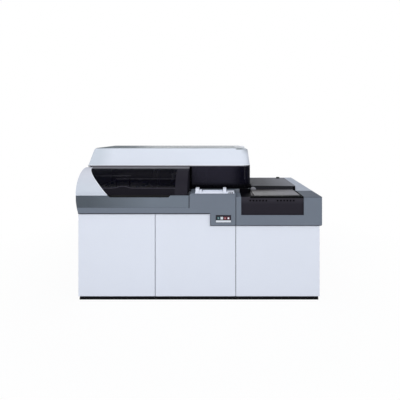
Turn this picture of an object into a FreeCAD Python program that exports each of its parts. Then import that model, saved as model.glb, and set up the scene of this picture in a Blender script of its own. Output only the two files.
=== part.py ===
# Floor-standing chemistry analyzer: cabinet with three doors, lifting hood over the working deck,
# and a rack feeder module on the right. Millimetres, Z up, the front looks towards minus Y.
import FreeCAD
import Part
import Sketcher
import math
import os
import re

os.makedirs("parts", exist_ok=True)
doc = FreeCAD.newDocument("chemistry_analyzer")
sheet = doc.addObject("Spreadsheet::Sheet", "sizes")

# Every driving size of the machine, in millimetres and degrees
table = [
    ("left_end", -940),
    ("right_end", 940),
    ("front", -525),
    ("seam_one", -336),
    ("seam_two", 282),
    ("seam_half", 2),
    ("skin", 6),
    # doors
    ("door_front", 12),
    ("door_thick", 20),
    ("door_low", 25),
    ("door_high", 655),
    ("door_side", 925),
    ("notch_left", 85),
    ("notch_gap", 2),
    ("short_high", 565),
    ("pivot_inset", 16),
    ("pin_radius", 4),
    ("pin_play", 0.05),
    # grey front
    ("band_low", 659),
    ("short_low", 569),
    ("band_high", 707),
    ("trim_high", 800),
    ("panel_left", -74),
    ("panel_high", 814),
    ("ledge_back", 206),
    ("fascia_deep", 40),
    # frame and panels
    ("frame_side", 900),
    ("frame_front", 60),
    ("frame_back", 1010),
    ("back_room", 40),
    ("tube", 40),
    ("frame_low", 40),
    ("panel_thick", 22),
    ("back_thick", 20),
    ("deck_low", 780),
    ("deck_thick", 4),
    # round front of the hood
    ("round_radius", 195),
    ("edge_foot", -697),
    ("edge_middle", -787),
    ("edge_crown", -887),
    ("edge_rise", 97),
    ("edge_gap", 3),
    ("rail_front", 150),
    ("pillar_left", -182),
    ("pillar_right", -90),
    ("sill_high", 855),
    ("bump_left", -660),
    ("bump_right", -506),
    ("bump_high", 14),
    # canopy
    ("canopy_low", 1000),
    ("canopy_high", 1150),
    ("canopy_front", 205),
    ("canopy_lean", 84),
    ("canopy_left", -934),
    ("canopy_right", 417),
    ("window_low", 820),
    ("axis_depth", 776),
    ("axis_drop", 13),
    ("hinge_reach", 6),
    ("hinge_seat", 14),
    # rack feeder
    ("feeder_left", 284),
    ("feeder_high", 789),
    ("bay_left", 420),
    ("bay_right", 801),
    ("bay_edge", 323),
    ("bay_low", 650),
    ("bay_split", 293),
    ("bay_back", 764),
    ("lid_rise", 7),
    ("lid_thick", 8),
    ("lid_axis", 278),
    ("lid_rail", 18),
    ("slot_pitch", 24.5),
    ("slot_first", 393),
    ("slot_second", 602.6),
    # carousels on the deck
    ("tub_one_x", -668),
    ("tub_one_y", -105),
    ("tub_one_radius", 222),
    ("tub_two_x", 220),
    ("tub_two_y", -15),
    ("tub_two_radius", 152),
    ("tub_low", 700),
    ("bath_x", -205),
    ("bath_y", -75),
    ("bath_radius", 224),
    ("bath_low", 735),
    # rack lane and pipetting arms
    ("lane_depth", 226),
    ("lane_wide", 40),
    ("arm_one_x", -440),
    ("arm_one_y", 140),
    ("arm_two_x", 30),
    ("arm_two_y", 143),
    ("arm_three_x", 45),
    ("arm_three_y", -190),
    ("column_radius", 14),
    ("arm_low", 950),
    ("arm_thick", 28),
    ("needle_low", 846),
    ("mixer_x", -300),
    ("mixer_y", 175),
    ("washer_x", -110),
    ("washer_y", 175),
    # inside the cabinets and on the back
    ("wall_depth", 300),
    ("syringe_low", 300),
    ("syringe_high", 600),
    ("syringe_half", 96),
    ("plate_left", -700),
    ("plate_right", -480),
    ("plate_low", 120),
    ("plate_high", 260),
    ("tank_left", 400),
    ("tank_right", 780),
    ("tank_high", 400),
    ("supply_left", -820),
    ("supply_right", -420),
    ("supply_high", 202),
]
for line, (word, value) in enumerate(table, 1):
    sheet.set("A%d" % line, word)
    sheet.set("B%d" % line, str(value))
    sheet.setAlias("B%d" % line, word)
doc.recompute()
size_of = dict(table)
word_pattern = re.compile(r"[a-z][a-z_]*")

# Places that follow from other sizes
follows = {
    "back": "(front + frame_back + back_room)",
    "canopy_back": "(axis_depth - hinge_reach)",
    "housing_front": "(axis_depth + hinge_seat)",
}
turned = {
    "x": FreeCAD.Rotation(FreeCAD.Vector(0, 1, 0), 90),
    "y": FreeCAD.Rotation(FreeCAD.Vector(1, 0, 0), -90),
    "z": FreeCAD.Rotation(),
}


def spelled(formula):
    """Formula with the following places written out in sheet words."""
    return word_pattern.sub(lambda hit: follows.get(hit[0], hit[0]), str(formula))


def linked(formula):
    """Point every sheet word of a formula at its cell."""
    return word_pattern.sub(lambda hit: "sizes." + hit[0] if hit[0] in size_of else hit[0],
                            spelled(formula))


def worth(formula):
    """Number that a formula gives with the present sizes."""
    numbers = word_pattern.sub(lambda hit: "(%s)" % size_of[hit[0]], spelled(formula))
    return FreeCAD.Units.Quantity(numbers).Value


def box(name, x, y, z):
    """Block between two formulas on each axis."""
    block = doc.addObject("Part::Box", name)
    for side, axis, (start, end) in zip(("Length", "Width", "Height"), "xyz", (x, y, z)):
        block.setExpression(side, linked("(%s) - (%s)" % (end, start)))
        block.setExpression("Placement.Base." + axis, linked(start))
    return block


def rod(name, along, centre, span, radius):
    """Round bar along one axis; the centre gives the two other axes in order."""
    bar = doc.addObject("Part::Cylinder", name)
    bar.Placement = FreeCAD.Placement(FreeCAD.Vector(), turned[along])
    others = [axis for axis in "xyz" if axis != along]
    bar.setExpression("Radius", linked(radius))
    bar.setExpression("Height", linked("(%s) - (%s)" % (span[1], span[0])))
    bar.setExpression("Placement.Base." + along, linked(span[0]))
    for axis, formula in zip(others, centre):
        bar.setExpression("Placement.Base." + axis, linked(formula))
    return bar


def join(name, parts):
    """One solid from several that touch."""
    whole = doc.addObject("Part::MultiFuse", name)
    whole.Shapes = parts
    whole.Refine = True
    return whole


def cut(name, base, tools):
    """Base with the tools taken away."""
    rest = doc.addObject("Part::Cut", name)
    rest.Base = base
    rest.Tool = tools[0] if len(tools) == 1 else join(name + "_tools", tools)
    rest.Refine = True
    return rest


def shared(name, parts):
    """What all the parts have in common."""
    middle = doc.addObject("Part::MultiCommon", name)
    middle.Shapes = parts
    return middle


def slab(name, view, points, span):
    """Padded outline: view is front (X and Z), plan (X and Y) or side (Y and Z)."""
    body = doc.addObject("PartDesign::Body", name)
    role = {"front": "XZ_Plane", "plan": "XY_Plane", "side": "YZ_Plane"}[view]
    outline = body.newObject("Sketcher::SketchObject", name + "_outline")
    outline.AttachmentSupport = [([part for part in body.Origin.OriginFeatures if part.Role == role][0],
                                  "")]
    outline.MapMode = "FlatFace"
    place = "0 - (%s)" % span[1] if view == "front" else span[0]
    outline.setExpression("AttachmentOffset.Base.z", linked(place))
    corners = [FreeCAD.Vector(worth(across), worth(up), 0) for across, up in points]
    count = len(points)
    for index in range(count):
        outline.addGeometry(Part.LineSegment(corners[index], corners[(index + 1) % count]), False)
    for index in range(count):
        outline.addConstraint(Sketcher.Constraint("Coincident", index, 2, (index + 1) % count, 1))
    for index, (across, up) in enumerate(points):
        for kind, formula in (("DistanceX", across), ("DistanceY", up)):
            number = outline.addConstraint(Sketcher.Constraint(kind, -1, 1, index, 1, worth(formula)))
            outline.setExpression("Constraints[%d]" % number, linked(formula))
    pad = body.newObject("PartDesign::Pad", name + "_pad")
    pad.Profile = outline
    pad.setExpression("Length", linked("(%s) - (%s)" % (span[1], span[0])))
    body.Tip = pad
    doc.recompute()
    return body


def softened(name, base, rounds):
    """Round the edges picked by tests on their middle points; each test has its own radius."""
    doc.recompute()
    smooth = doc.addObject("Part::Fillet", name)
    smooth.Base = base
    picked = []
    for number, edge in enumerate(base.Shape.Edges, 1):
        middle = edge.valueAt((edge.FirstParameter + edge.LastParameter) / 2)
        for test, radius in rounds:
            if test(middle, edge):
                picked.append((number, radius, radius))
                break
    smooth.Edges = picked
    return smooth


def near(number, formula):
    """True when a number lies at a formula's value."""
    return abs(number - worth(formula)) < 0.2


nodes = []


def node(shape, label):
    """Give a finished sub-part the name of its node."""
    shape.Label = label
    nodes.append(shape)
    return shape


# Levelling feet: six round pads on threaded stems under the welded frame
feet = []
foot_rows = ("front + frame_front + 40", "front + frame_back - 50")
for index, (x, y) in enumerate((x, y) for x in ("60 - frame_side", "0",
                                                "frame_side - 60") for y in foot_rows):
    feet.append(rod("foot_pad_%d" % index, "z", (x, y), (0, 12), 32))
    feet.append(rod("foot_stem_%d" % index, "z", (x, y), (12, "frame_low"), 10))
node(join("feet", feet), "levelling_feet")

# Main frame: square tubes, high under the working deck and low under the rack feeder
rails = []
depth_front = ("front + frame_front", "front + frame_front + tube")
depth_back = ("front + frame_back - tube", "front + frame_back")
depth_between = (depth_front[1], depth_back[0])
post_seam = ("seam_two - 20", "seam_two + 20")
for index, depth in enumerate((depth_front, depth_back)):
    rails.append(box("rail_low_%d" % index, ("-frame_side", "frame_side"), depth,
                     ("frame_low", "frame_low + tube")))
    rails.append(box("rail_deck_%d" % index, ("-frame_side", post_seam[1]), depth,
                     ("deck_low - tube", "deck_low")))
    rails.append(box("rail_feeder_%d" % index, (post_seam[1], "frame_side"), depth,
                     ("short_low - tube", "short_low")))
    rails.append(box("post_left_%d" % index, ("-frame_side", "-frame_side + tube"), depth,
                     ("frame_low", "deck_low")))
    rails.append(box("post_seam_%d" % index, post_seam, depth, ("frame_low", "deck_low")))
    rails.append(box("post_middle_%d" % index, ("seam_one - 20", "seam_one + 20"), depth,
                     ("frame_low", "deck_low")))
    rails.append(box("post_right_%d" % index, ("frame_side - tube", "frame_side"), depth,
                     ("frame_low", "short_low")))
sill_places = (("-frame_side", "-frame_side + tube"), ("seam_one - 20", "seam_one + 20"), post_seam,
               ("frame_side - tube", "frame_side"))
for index, x in enumerate(sill_places):
    rails.append(box("sill_%d" % index, x, depth_between, ("frame_low", "frame_low + 20")))
for index, x in enumerate((("-frame_side", "-frame_side + tube"), post_seam)):
    rails.append(box("tie_%d" % index, x, depth_between, ("deck_low - 140", "deck_low - 100")))
rails.append(box("tie_right", ("frame_side - tube", "frame_side"), depth_between,
                 ("short_low - tube", "short_low")))
frame = join("frame", rails)
frame.Refine = False
node(frame, "main_frame")

# Base tray: floor of the cabinets; the dark skirt round its foot has a flange under the doors
tray = box("tray_floor", ("-frame_side + tube", "frame_side - tube"), depth_between,
           ("frame_low + 20", "frame_low + 23"))
node(tray, "base_tray")
skirt = cut("skirt", box("skirt_outside", ("-frame_side - 4", "frame_side + 4"),
                         ("front + frame_front - 4", "front + frame_back + 4"), (8, "frame_low + tube")),
            [box("skirt_inside", ("-frame_side", "frame_side"),
                 ("front + frame_front", "front + frame_back"),
                 (7, "frame_low + tube + 1"))])
skirt_x = ("10 - door_side", "door_side - 10")
kick = [
    box("kick_front", skirt_x, ("front + door_front + 4", "front + door_front + 8"), (2, "door_low - 4")),
    box("kick_flange", skirt_x, ("front + door_front + 4", "front + frame_front - 3"),
        ("door_low - 8", "door_low - 4")),
]
for index, x in enumerate((skirt_x[0], skirt_x[1] + " - 4")):
    kick.append(box("kick_end_%d" % index, (x, x + " + 4"),
                    ("front + door_front + 8", "front + frame_front - 3"),
                    (2, "door_low - 8")))
node(join("skirt_whole", [skirt] + kick), "plinth_skirt")

# Partition walls between the three cabinets, with a divider that carries the syringes
walls = [
    box("wall_left", ("seam_one - 2", "seam_one + 2"), depth_between,
        ("frame_low + 23", "deck_low - 140")),
    box("wall_right", ("seam_two - 2", "seam_two + 2"), depth_between,
        ("frame_low + 23", "deck_low - 140")),
    box("wall_cross", ("seam_one + 2", "seam_two - 2"), ("front + wall_depth", "front + wall_depth + 4"),
        ("frame_low + 23", "deck_low - 140")),
]
node(join("walls", walls), "partition_walls")

# Side panels: plain painted trays closing the frame, the left one taller
side_depth = ("front + 45", "front + frame_back + back_thick")
left_panel = box("left_panel_sheet", ("-(frame_side + panel_thick)", "-frame_side - 4"), side_depth,
                 ("door_low", "trim_high"))
left_liner = box("left_panel_liner", ("-frame_side - 4", "-frame_side"), side_depth,
                 ("frame_low + tube", "trim_high"))
node(join("left_panel", [left_panel, left_liner]), "side_panel_left")
right_panel = box("right_panel_sheet", ("frame_side + 4", "frame_side + panel_thick"), side_depth,
                  ("door_low", "short_low"))
right_liner = box("right_panel_liner", ("frame_side", "frame_side + 4"), side_depth,
                  ("frame_low + tube", "short_low"))
node(join("right_panel", [right_panel, right_liner]), "side_panel_right")

# Rear panels with rows of louvre slots
back_depth = ("front + frame_back + 4", "front + frame_back + back_thick")


def rear_panel(name, x, high, first, count):
    """Flanged sheet behind the frame with a field of slots."""
    sheet_out = box(name + "_sheet", x, back_depth, ("door_low", high))
    liner = box(name + "_liner", x, ("front + frame_back", "front + frame_back + 4"),
                ("frame_low + tube", high))
    whole = join(name + "_whole", [sheet_out, liner])
    slots = []
    for index in range(count):
        low = "%s + 28 * %d" % (first, index)
        slots.append(box("%s_slot_%d" % (name, index), (x[0] + " + 120", x[0] + " + 330"),
                         ("front + frame_back + back_thick - 12", "front + frame_back + back_thick + 1"),
                         (low, low + " + 9")))
    return cut(name, whole, slots)


node(rear_panel("back_left", ("-frame_side", "seam_two - seam_half"), "trim_high - 1", "430", 7),
     "rear_panel_left")
node(rear_panel("back_right", ("seam_two + seam_half", "frame_side"), "short_low", "200", 6),
     "rear_panel_right")

# Connection panel low on the back: plate with water inlet and drain spigots below a sunk mains inlet
plate_foot = "front + frame_back + back_thick"
plate_face = plate_foot + " + 4"
port_z = "(plate_low + plate_high) / 2"
ports = [box("connection_plate", ("plate_left", "plate_right"), (plate_foot, plate_face),
             ("plate_low", "plate_high"))]
for index in range(3):
    x = "plate_left + 50 + 60 * %d" % index
    ports.append(rod("port_collar_%d" % index, "y", (x, port_z), (plate_face, plate_face + " + 4"), 14))
    ports.append(rod("port_%d" % index, "y", (x, port_z), (plate_face + " + 4", "back"), 8))
inlet_x = ("plate_left + 88", "plate_left + 132")
inlet_z = ("plate_high - 44", "plate_high - 12")
inlet_case = box("inlet_case", inlet_x, (plate_face, plate_face + " + 10"), inlet_z)
inlet_mouth = box("inlet_mouth", (inlet_x[0] + " + 6", inlet_x[1] + " - 6"),
                  (plate_face + " + 2", plate_face + " + 11"),
                  (inlet_z[0] + " + 6", inlet_z[1] + " - 6"))
ports.append(cut("inlet", inlet_case, [inlet_mouth]))
for index in range(3):
    blade_low = inlet_z[0] + " + %d" % (11 if index == 1 else 15)
    ports.append(box("inlet_blade_%d" % index,
                     (inlet_x[0] + " + %d" % (12 + 9 * index), inlet_x[0] + " + %d" % (14 + 9 * index)),
                     (plate_face + " + 2", plate_face + " + 8"), (blade_low, blade_low + " + 5")))
node(join("connections", ports), "connection_panel")

# Door leaves: flush slabs with soft edges, a tray-like back and bores for the hinge pins
door_depth = ("front + door_front", "front + door_front + door_thick")
pivot_y = "front + door_front + door_thick / 2"


def door_leaf(name, points, pockets, pivot_x, high):
    """One door with its recessed back and two hinge bores."""
    leaf = slab(name + "_slab", "front", points, door_depth)

    def is_outer(spot, edge):
        upright = abs(spot.z - edge.Vertexes[0].Z) > 5
        at_side = near(spot.x, points[0][0]) or near(spot.x, points[1][0])
        return near(spot.y, door_depth[0]) or (upright and at_side)

    soft = softened(name + "_soft", leaf, [(is_outer, 3)])
    tools = []
    for index, (x, z) in enumerate(pockets):
        tools.append(box("%s_pocket_%d" % (name, index), x,
                         (door_depth[0] + " + 6", door_depth[1] + " + 1"), z))
    tools.append(rod(name + "_bore_low", "z", (pivot_x, pivot_y), ("door_low - 1", "door_low + 21"),
                     "pin_radius + pin_play"))
    tools.append(rod(name + "_bore_high", "z", (pivot_x, pivot_y), (high + " - 21", high + " + 1"),
                     "pin_radius + pin_play"))
    return cut(name, soft, tools)


rim = 34
left_x = ("-door_side", "seam_one - seam_half")
middle_x = ("seam_one + seam_half", "seam_two - seam_half")
right_x = ("seam_two + seam_half", "door_side")
pivots = ("-door_side + pivot_inset", "seam_two - seam_half - pivot_inset", "door_side - pivot_inset")
node(door_leaf("left_leaf",
               [(left_x[0], "door_low"), (left_x[1], "door_low"), (left_x[1], "door_high"),
                (left_x[0], "door_high")],
               [((left_x[0] + " + %d" % rim, left_x[1] + " - %d" % rim),
                 ("door_low + %d" % rim, "door_high - %d" % rim))],
               pivots[0], "door_high"), "left_door")
node(door_leaf("middle_leaf",
               [(middle_x[0], "door_low"), (middle_x[1], "door_low"), (middle_x[1], "short_high"),
                ("notch_left", "short_high"), ("notch_left", "door_high"), (middle_x[0], "door_high")],
               [((middle_x[0] + " + %d" % rim, "notch_left - %d" % rim),
                 ("door_low + %d" % rim, "door_high - %d" % rim)),
                (("notch_left - %d" % rim, middle_x[1] + " - %d" % rim),
                 ("door_low + %d" % rim, "short_high - %d" % rim))],
               pivots[1], "short_high"), "middle_door")
node(door_leaf("right_leaf",
               [(right_x[0], "door_low"), (right_x[1], "door_low"), (right_x[1], "short_high"),
                (right_x[0], "short_high")],
               [((right_x[0] + " + %d" % rim, right_x[1] + " - %d" % rim),
                 ("door_low + %d" % rim, "short_high - %d" % rim))],
               pivots[2], "short_high"), "right_door")

# Grey fascia: long lower band with a tapered left end and the raised switch panel with its ledge
outline = [
    ("left_end + 19", "band_low"), ("notch_left + notch_gap", "band_low"),
    ("notch_left + notch_gap", "short_low"),
    ("seam_two - seam_half", "short_low"), ("seam_two - seam_half", "panel_high"),
    ("panel_left", "panel_high"), ("panel_left", "band_high"), ("left_end + 7", "band_high"),
]
fascia_slab = slab("fascia_slab", "front", outline, ("front", "front + fascia_deep"))
fascia_soft = softened("fascia_soft", fascia_slab, [
    (lambda spot, edge: near(spot.x, "panel_left") and near(spot.z, "panel_high") and edge.Length < 41,
     18),
    (lambda spot, edge: near(spot.y, "front"), 2.5),
])
ledge = box("ledge", ("panel_left", "seam_two - seam_half"),
            ("front + fascia_deep", "front + ledge_back"),
            ("panel_high - 10", "panel_high"))
ledge_wall = box("ledge_wall", ("panel_left", "panel_left + 8"),
                 ("front + fascia_deep", "front + ledge_back"),
                 ("deck_low + deck_thick", "panel_high - 10"))
arms = [box("fascia_arm_%d" % index, (x, x + " + tube"), ("front + fascia_deep", "front + frame_front"),
            ("band_low + 8", "band_high - 8"))
        for index, x in enumerate(("-frame_side", "seam_one - 20", "seam_two - 20 - seam_half"))]
fascia_whole = join("fascia_whole", [fascia_soft, ledge, ledge_wall] + arms)
switch_x = ("seam_two - 154", "seam_two - 36")
pocket = box("switch_pocket", switch_x, ("front - 1", "front + 16"), ("short_low + 24", "short_low + 83"))
groove = box("rim_groove", ("panel_left + 6", "seam_two - seam_half - 4"), ("front - 1", "front + 1.6"),
             ("panel_high - 9.5", "panel_high - 7.7"))
node(cut("fascia", fascia_whole, [pocket, groove]), "front_fascia")

# Trim inlay above the band, with a finger recess under the hood's lower edge
trim_left = ("left_end", "panel_left - 4")
trim_slab = slab("trim_slab", "front",
                 [("left_end + 7", "band_high"), (trim_left[1], "band_high"), (trim_left[1], "trim_high"),
                  (trim_left[0], "trim_high"), (trim_left[0], "band_high + 50")],
                 ("front + 3", "front + fascia_deep"))
recess = slab("finger_recess", "front",
              [("edge_foot + 20", "trim_high - 15"), ("pillar_left - 50", "trim_high - 15"),
               ("pillar_left - 34", "trim_high + 1"), ("edge_foot - 4", "trim_high + 1")],
              ("front + 2", "front + 26"))
node(cut("trim", trim_slab, [recess]), "fascia_trim")

# Side band: the grey belt carried round the left side
band = slab("band", "front",
            [("-(frame_side + panel_thick)", "band_low"), ("-(frame_side + panel_thick)", "trim_high"),
             ("left_end", "trim_high"),
             ("left_end", "band_high + 50"), ("left_end + 7", "band_high"),
             ("left_end + 16", "band_low")],
            ("front + fascia_deep", "back"))
node(band, "side_band_left")

# Working deck: plate with openings for carousels and columns, and the upstand under the right windows
deck_top = "deck_low + deck_thick"
deck_whole = join("deck_whole", [
    box("deck_sheet", ("-frame_side", "canopy_right - 12"), ("front + fascia_deep", "front + frame_back"),
        ("deck_low", deck_top)),
    box("upstand_right", ("canopy_right - 20", "canopy_right - 12"),
        ("front + ledge_back + 8", "front + housing_front"),
        (deck_top, "window_low - 6")),
    box("upstand_front", ("seam_two", "bay_edge"), ("front + ledge_back + 2", "front + ledge_back + 16"),
        (deck_top, "window_low - 6")),
    box("upstand_link", ("bay_edge", "canopy_right - 20"),
        ("front + ledge_back + 8", "front + ledge_back + 16"),
        (deck_top, deck_top + " + 12")),
])
hole_z = ("deck_low - 1", "deck_low + deck_thick + 1")
holes = [
    rod("hole_one", "z", ("tub_one_x", "tub_one_y"), hole_z, "tub_one_radius + 1"),
    rod("hole_two", "z", ("tub_two_x", "tub_two_y"), hole_z, "tub_two_radius + 1"),
    rod("hole_bath", "z", ("bath_x", "bath_y"), hole_z, "bath_radius + 1"),
    box("lane_gate", ("canopy_right - 21", "canopy_right - 11"),
        ("front + lane_depth - 2", "front + lane_depth + lane_wide + 2"),
        (deck_top, "window_low")),
    box("feeder_gate", ("seam_two", "canopy_right"),
        ("front + fascia_deep - 1", "front + ledge_back + 8"),
        ("deck_low - 1", deck_top + " + 1")),
]
columns = [("arm_one_x", "arm_one_y"), ("arm_two_x", "arm_two_y"), ("arm_three_x", "arm_three_y"),
           ("mixer_x", "mixer_y"), ("washer_x", "washer_y")]
for index, centre in enumerate(columns):
    holes.append(rod("hole_column_%d" % index, "z", centre, hole_z, "column_radius + 2"))
node(cut("deck", deck_whole, holes), "deck_plate")

# Column guides: flanged bushings on the deck in which the lifting columns run
guides = []
for index, centre in enumerate(columns):
    guides.append(rod("guide_flange_%d" % index, "z", centre, (deck_top, deck_top + " + 4"),
                      "column_radius + 14"))
    guides.append(rod("guide_tube_%d" % index, "z", centre, ("deck_low - 60", deck_top + " + 36"),
                      "column_radius + 1.9"))
bores = [rod("guide_bore_%d" % index, "z", centre, ("deck_low - 61", deck_top + " + 37"),
             "column_radius + pin_play")
         for index, centre in enumerate(columns)]
node(cut("guides", join("guides_whole", guides), bores), "column_guides")


def tub(name, x, y, radius, low):
    """Round open vessel hanging in the deck by its flange, with a spindle in the middle."""
    whole = join(name + "_whole", [
        rod(name + "_wall", "z", (x, y), (low, deck_top), radius),
        rod(name + "_flange", "z", (x, y), (deck_top, deck_top + " + 4"), radius + " + 6"),
    ])
    hollow = cut(name + "_hollow", whole,
                 [rod(name + "_inside", "z", (x, y), (low + " + 6", deck_top + " + 5"), radius + " - 6")])
    return join(name, [hollow, rod(name + "_spindle", "z", (x, y), (low + " + 6", low + " + 40"), 10)])


node(tub("vessel_one", "tub_one_x", "tub_one_y", "tub_one_radius", "tub_low"), "reagent_tub_1")
node(tub("vessel_two", "tub_two_x", "tub_two_y", "tub_two_radius", "tub_low"), "reagent_tub_2")
node(tub("vessel_bath", "bath_x", "bath_y", "bath_radius", "bath_low"), "reaction_bath")


def wheel(name, x, y, radius, low):
    """Turning plate with a hub that sits over the spindle and a grip on top."""
    whole = join(name + "_whole", [
        rod(name + "_plate", "z", (x, y), (low + " + 16", low + " + 22"), radius),
        rod(name + "_hub", "z", (x, y), (low + " + 6.4", low + " + 60"), 30),
        rod(name + "_grip", "z", (x, y), (low + " + 60", low + " + 96"), 14),
    ])
    return cut(name, whole, [rod(name + "_bore", "z", (x, y), (low + " + 5", low + " + 41"),
                                 "10 + pin_play")])


node(wheel("carrier_one", "tub_one_x", "tub_one_y", "tub_one_radius - 10", "tub_low"), "reagent_wheel_1")
node(wheel("carrier_two", "tub_two_x", "tub_two_y", "tub_two_radius - 10", "tub_low"), "reagent_wheel_2")


def bottles(name, x, y, inner, outer, count, low, high):
    """Ring of wedge bottles on a carrier plate, repeated round the wheel."""
    spread = math.tan(math.radians(180.0 / count - 1.5))
    corners = []
    for across, side in ((inner, "0 - "), (outer, "0 - "), (outer, ""), (inner, "")):
        corners.append((across, "%s%s * %.6f" % (side, across, spread)))
    body = slab(name, "plan", corners, (low, high))
    body.AllowCompound = True
    turn = body.newObject("PartDesign::PolarPattern", name + "_turn")
    turn.Originals = [body.Tip]
    turn.Axis = ([part for part in body.Origin.OriginFeatures if part.Role == "Z_Axis"][0], [""])
    turn.Angle = 360
    turn.Occurrences = count
    body.Tip = turn
    body.setExpression("Placement.Base.x", linked(x))
    body.setExpression("Placement.Base.y", linked(y))
    return body


node(bottles("wedges_one", "tub_one_x", "tub_one_y", 96, "(tub_one_radius - 18)", 16, "tub_low + 22",
             "tub_low + 112"),
     "reagent_bottles_1")
node(bottles("wedges_two", "tub_two_x", "tub_two_y", 58, "(tub_two_radius - 18)", 12, "tub_low + 22",
             "tub_low + 104"),
     "reagent_bottles_2")

# Cuvette wheel: ring with reading windows running in the bath, on a spoked hub
ring = cut("ring", rod("ring_outside", "z", ("bath_x", "bath_y"), ("bath_low + 12", "bath_low + 58"),
                       "bath_radius - 10"),
           [rod("ring_inside", "z", ("bath_x", "bath_y"), ("bath_low + 11", "bath_low + 59"),
                "bath_radius - 36")])
spokes = [ring, rod("ring_hub", "z", ("bath_x", "bath_y"), ("bath_low + 6.4", "bath_low + 62"), 34)]
for index, (half_x, half_y) in enumerate((("bath_radius - 30", "10"), ("10", "bath_radius - 30"))):
    spokes.append(box("spoke_%d" % index, ("bath_x - (%s)" % half_x, "bath_x + (%s)" % half_x),
                      ("bath_y - (%s)" % half_y, "bath_y + (%s)" % half_y),
                      ("bath_low + 44", "bath_low + 52")))
node(cut("spoked_ring", join("ring_whole", spokes),
         [rod("ring_bore", "z", ("bath_x", "bath_y"), ("bath_low + 5", "bath_low + 41"),
              "10 + pin_play")]),
     "cuvette_wheel")


# Pipetting arms: a lifting column in its guide and an arm turning on top of it, with a needle at the tip
def lift(name, x, y):
    """Column with the thin pivot that carries the arm."""
    return join(name, [
        rod(name + "_column", "z", (x, y), ("deck_low - 100", "arm_low - 0.3"), "column_radius"),
        rod(name + "_stop", "z", (x, y), (deck_top + " + 36.3", deck_top + " + 48"), "column_radius + 8"),
        rod(name + "_pivot", "z", (x, y), ("arm_low - 0.3", "arm_low + arm_thick - 4"), 6),
    ])


def arm(name, x, y, towards, reach):
    """Tapered arm with a round hub; towards is the direction of the tip at rest."""
    span = ("arm_low", "arm_low + arm_thick")
    ax, ay = towards
    sides = []
    for along, across in ((0, -17), (0, 17), (reach + 12, 10), (reach + 12, -10)):
        sides.append(("%s + %g" % (x, along * ax + across * ay),
                      "%s + %g" % (y, along * ay - across * ax)))
    beam = slab(name + "_beam", "plan", sides, span)
    whole = join(name + "_whole", [beam, rod(name + "_hub", "z", (x, y), span, 26)])
    soft = softened(name + "_soft", whole, [(lambda spot, edge: near(spot.z, span[1]), 5)])
    tip = ("%s + %g" % (x, reach * ax), "%s + %g" % (y, reach * ay))
    bored = cut(name + "_bored", soft, [rod(name + "_bore", "z", (x, y),
                                            ("arm_low - 1", "arm_low + arm_thick - 3"),
                                            "6 + pin_play")])
    return join(name, [bored, rod(name + "_sleeve", "z", tip, ("arm_low - 30", "arm_low"), 6),
                       rod(name + "_needle", "z", tip, ("needle_low", "arm_low - 30"), 1.6)])


node(lift("lift_one", "arm_one_x", "arm_one_y"), "reagent_lift_1")
node(arm("swing_one", "arm_one_x", "arm_one_y", (0, -1), 200), "reagent_arm_1")
node(lift("lift_two", "arm_two_x", "arm_two_y"), "reagent_lift_2")
node(arm("swing_two", "arm_two_x", "arm_two_y", (0, -1), 168), "reagent_arm_2")
node(lift("lift_three", "arm_three_x", "arm_three_y"), "sample_lift")
node(arm("swing_three", "arm_three_x", "arm_three_y", (-1, 0), 105), "sample_arm")

# Mixer: short lifting arm with a stirring rod over the cuvette ring
mixer_parts = [
    rod("mixer_column", "z", ("mixer_x", "mixer_y"), ("deck_low - 90", "deck_low + 96"), "column_radius"),
    box("mixer_arm", ("mixer_x - 12", "mixer_x + 34"), ("mixer_y - 78", "mixer_y + 16"),
        ("deck_low + 96", "deck_low + 116")),
    rod("mixer_motor", "z", ("mixer_x + 22", "mixer_y - 64"), ("deck_low + 116", "deck_low + 142"), 11),
    rod("mixer_stem", "z", ("mixer_x + 22", "mixer_y - 64"), ("deck_low + 34", "deck_low + 96"), 2),
    rod("mixer_stop", "z", ("mixer_x", "mixer_y"), ("deck_low + 40.3", "deck_low + 52"),
        "column_radius + 6"),
]
node(join("mixer_whole", mixer_parts), "mixer")

# Wash head: lifting bracket with four rinsing nozzles
washer_parts = [
    rod("washer_column", "z", ("washer_x", "washer_y"), ("deck_low - 90", "deck_low + 76"),
        "column_radius"),
    box("washer_arm", ("washer_x - 66", "washer_x + 16"), ("washer_y - 74", "washer_y + 16"),
        ("deck_low + 76", "deck_low + 92")),
    rod("washer_stop", "z", ("washer_x", "washer_y"), ("deck_low + 40.3", "deck_low + 52"),
        "column_radius + 6"),
]
for index in range(4):
    washer_parts.append(rod("nozzle_%d" % index, "z",
                            ("washer_x - 52 + %d" % (14 * index), "washer_y - 60 + %d" % (-3 * index)),
                            ("deck_low + 30", "deck_low + 76"), 2.5))
node(join("washer_whole", washer_parts), "wash_head")

# Rack lane across the front of the deck, with the rack that travels on it
lane_y = ("front + lane_depth", "front + lane_depth + lane_wide")
lane_x = ("seam_two - 330", "canopy_right - 12")
lane = join("lane", [
    box("lane_floor", lane_x, lane_y, (deck_top, deck_top + " + 4")),
    box("lane_rail_front", lane_x, (lane_y[0], lane_y[0] + " + 6"),
        (deck_top, deck_top + " + 16")),
    box("lane_rail_back", lane_x, (lane_y[1] + " - 6", lane_y[1]),
        (deck_top, deck_top + " + 16")),
])
node(lane, "rack_lane")
rack_z = (deck_top + " + 4.2", deck_top + " + 36")


def tube(name, x, y, low, high):
    """Sample tube standing in a rack, as a many-sided bar."""
    glass = doc.addObject("Part::Prism", name)
    glass.Polygon = 8
    glass.setExpression("Circumradius", "7")
    glass.setExpression("Height", linked("(%s) - (%s)" % (high, low)))
    for axis, formula in zip("xyz", (x, y, low)):
        glass.setExpression("Placement.Base." + axis, linked(formula))
    return glass


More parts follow.
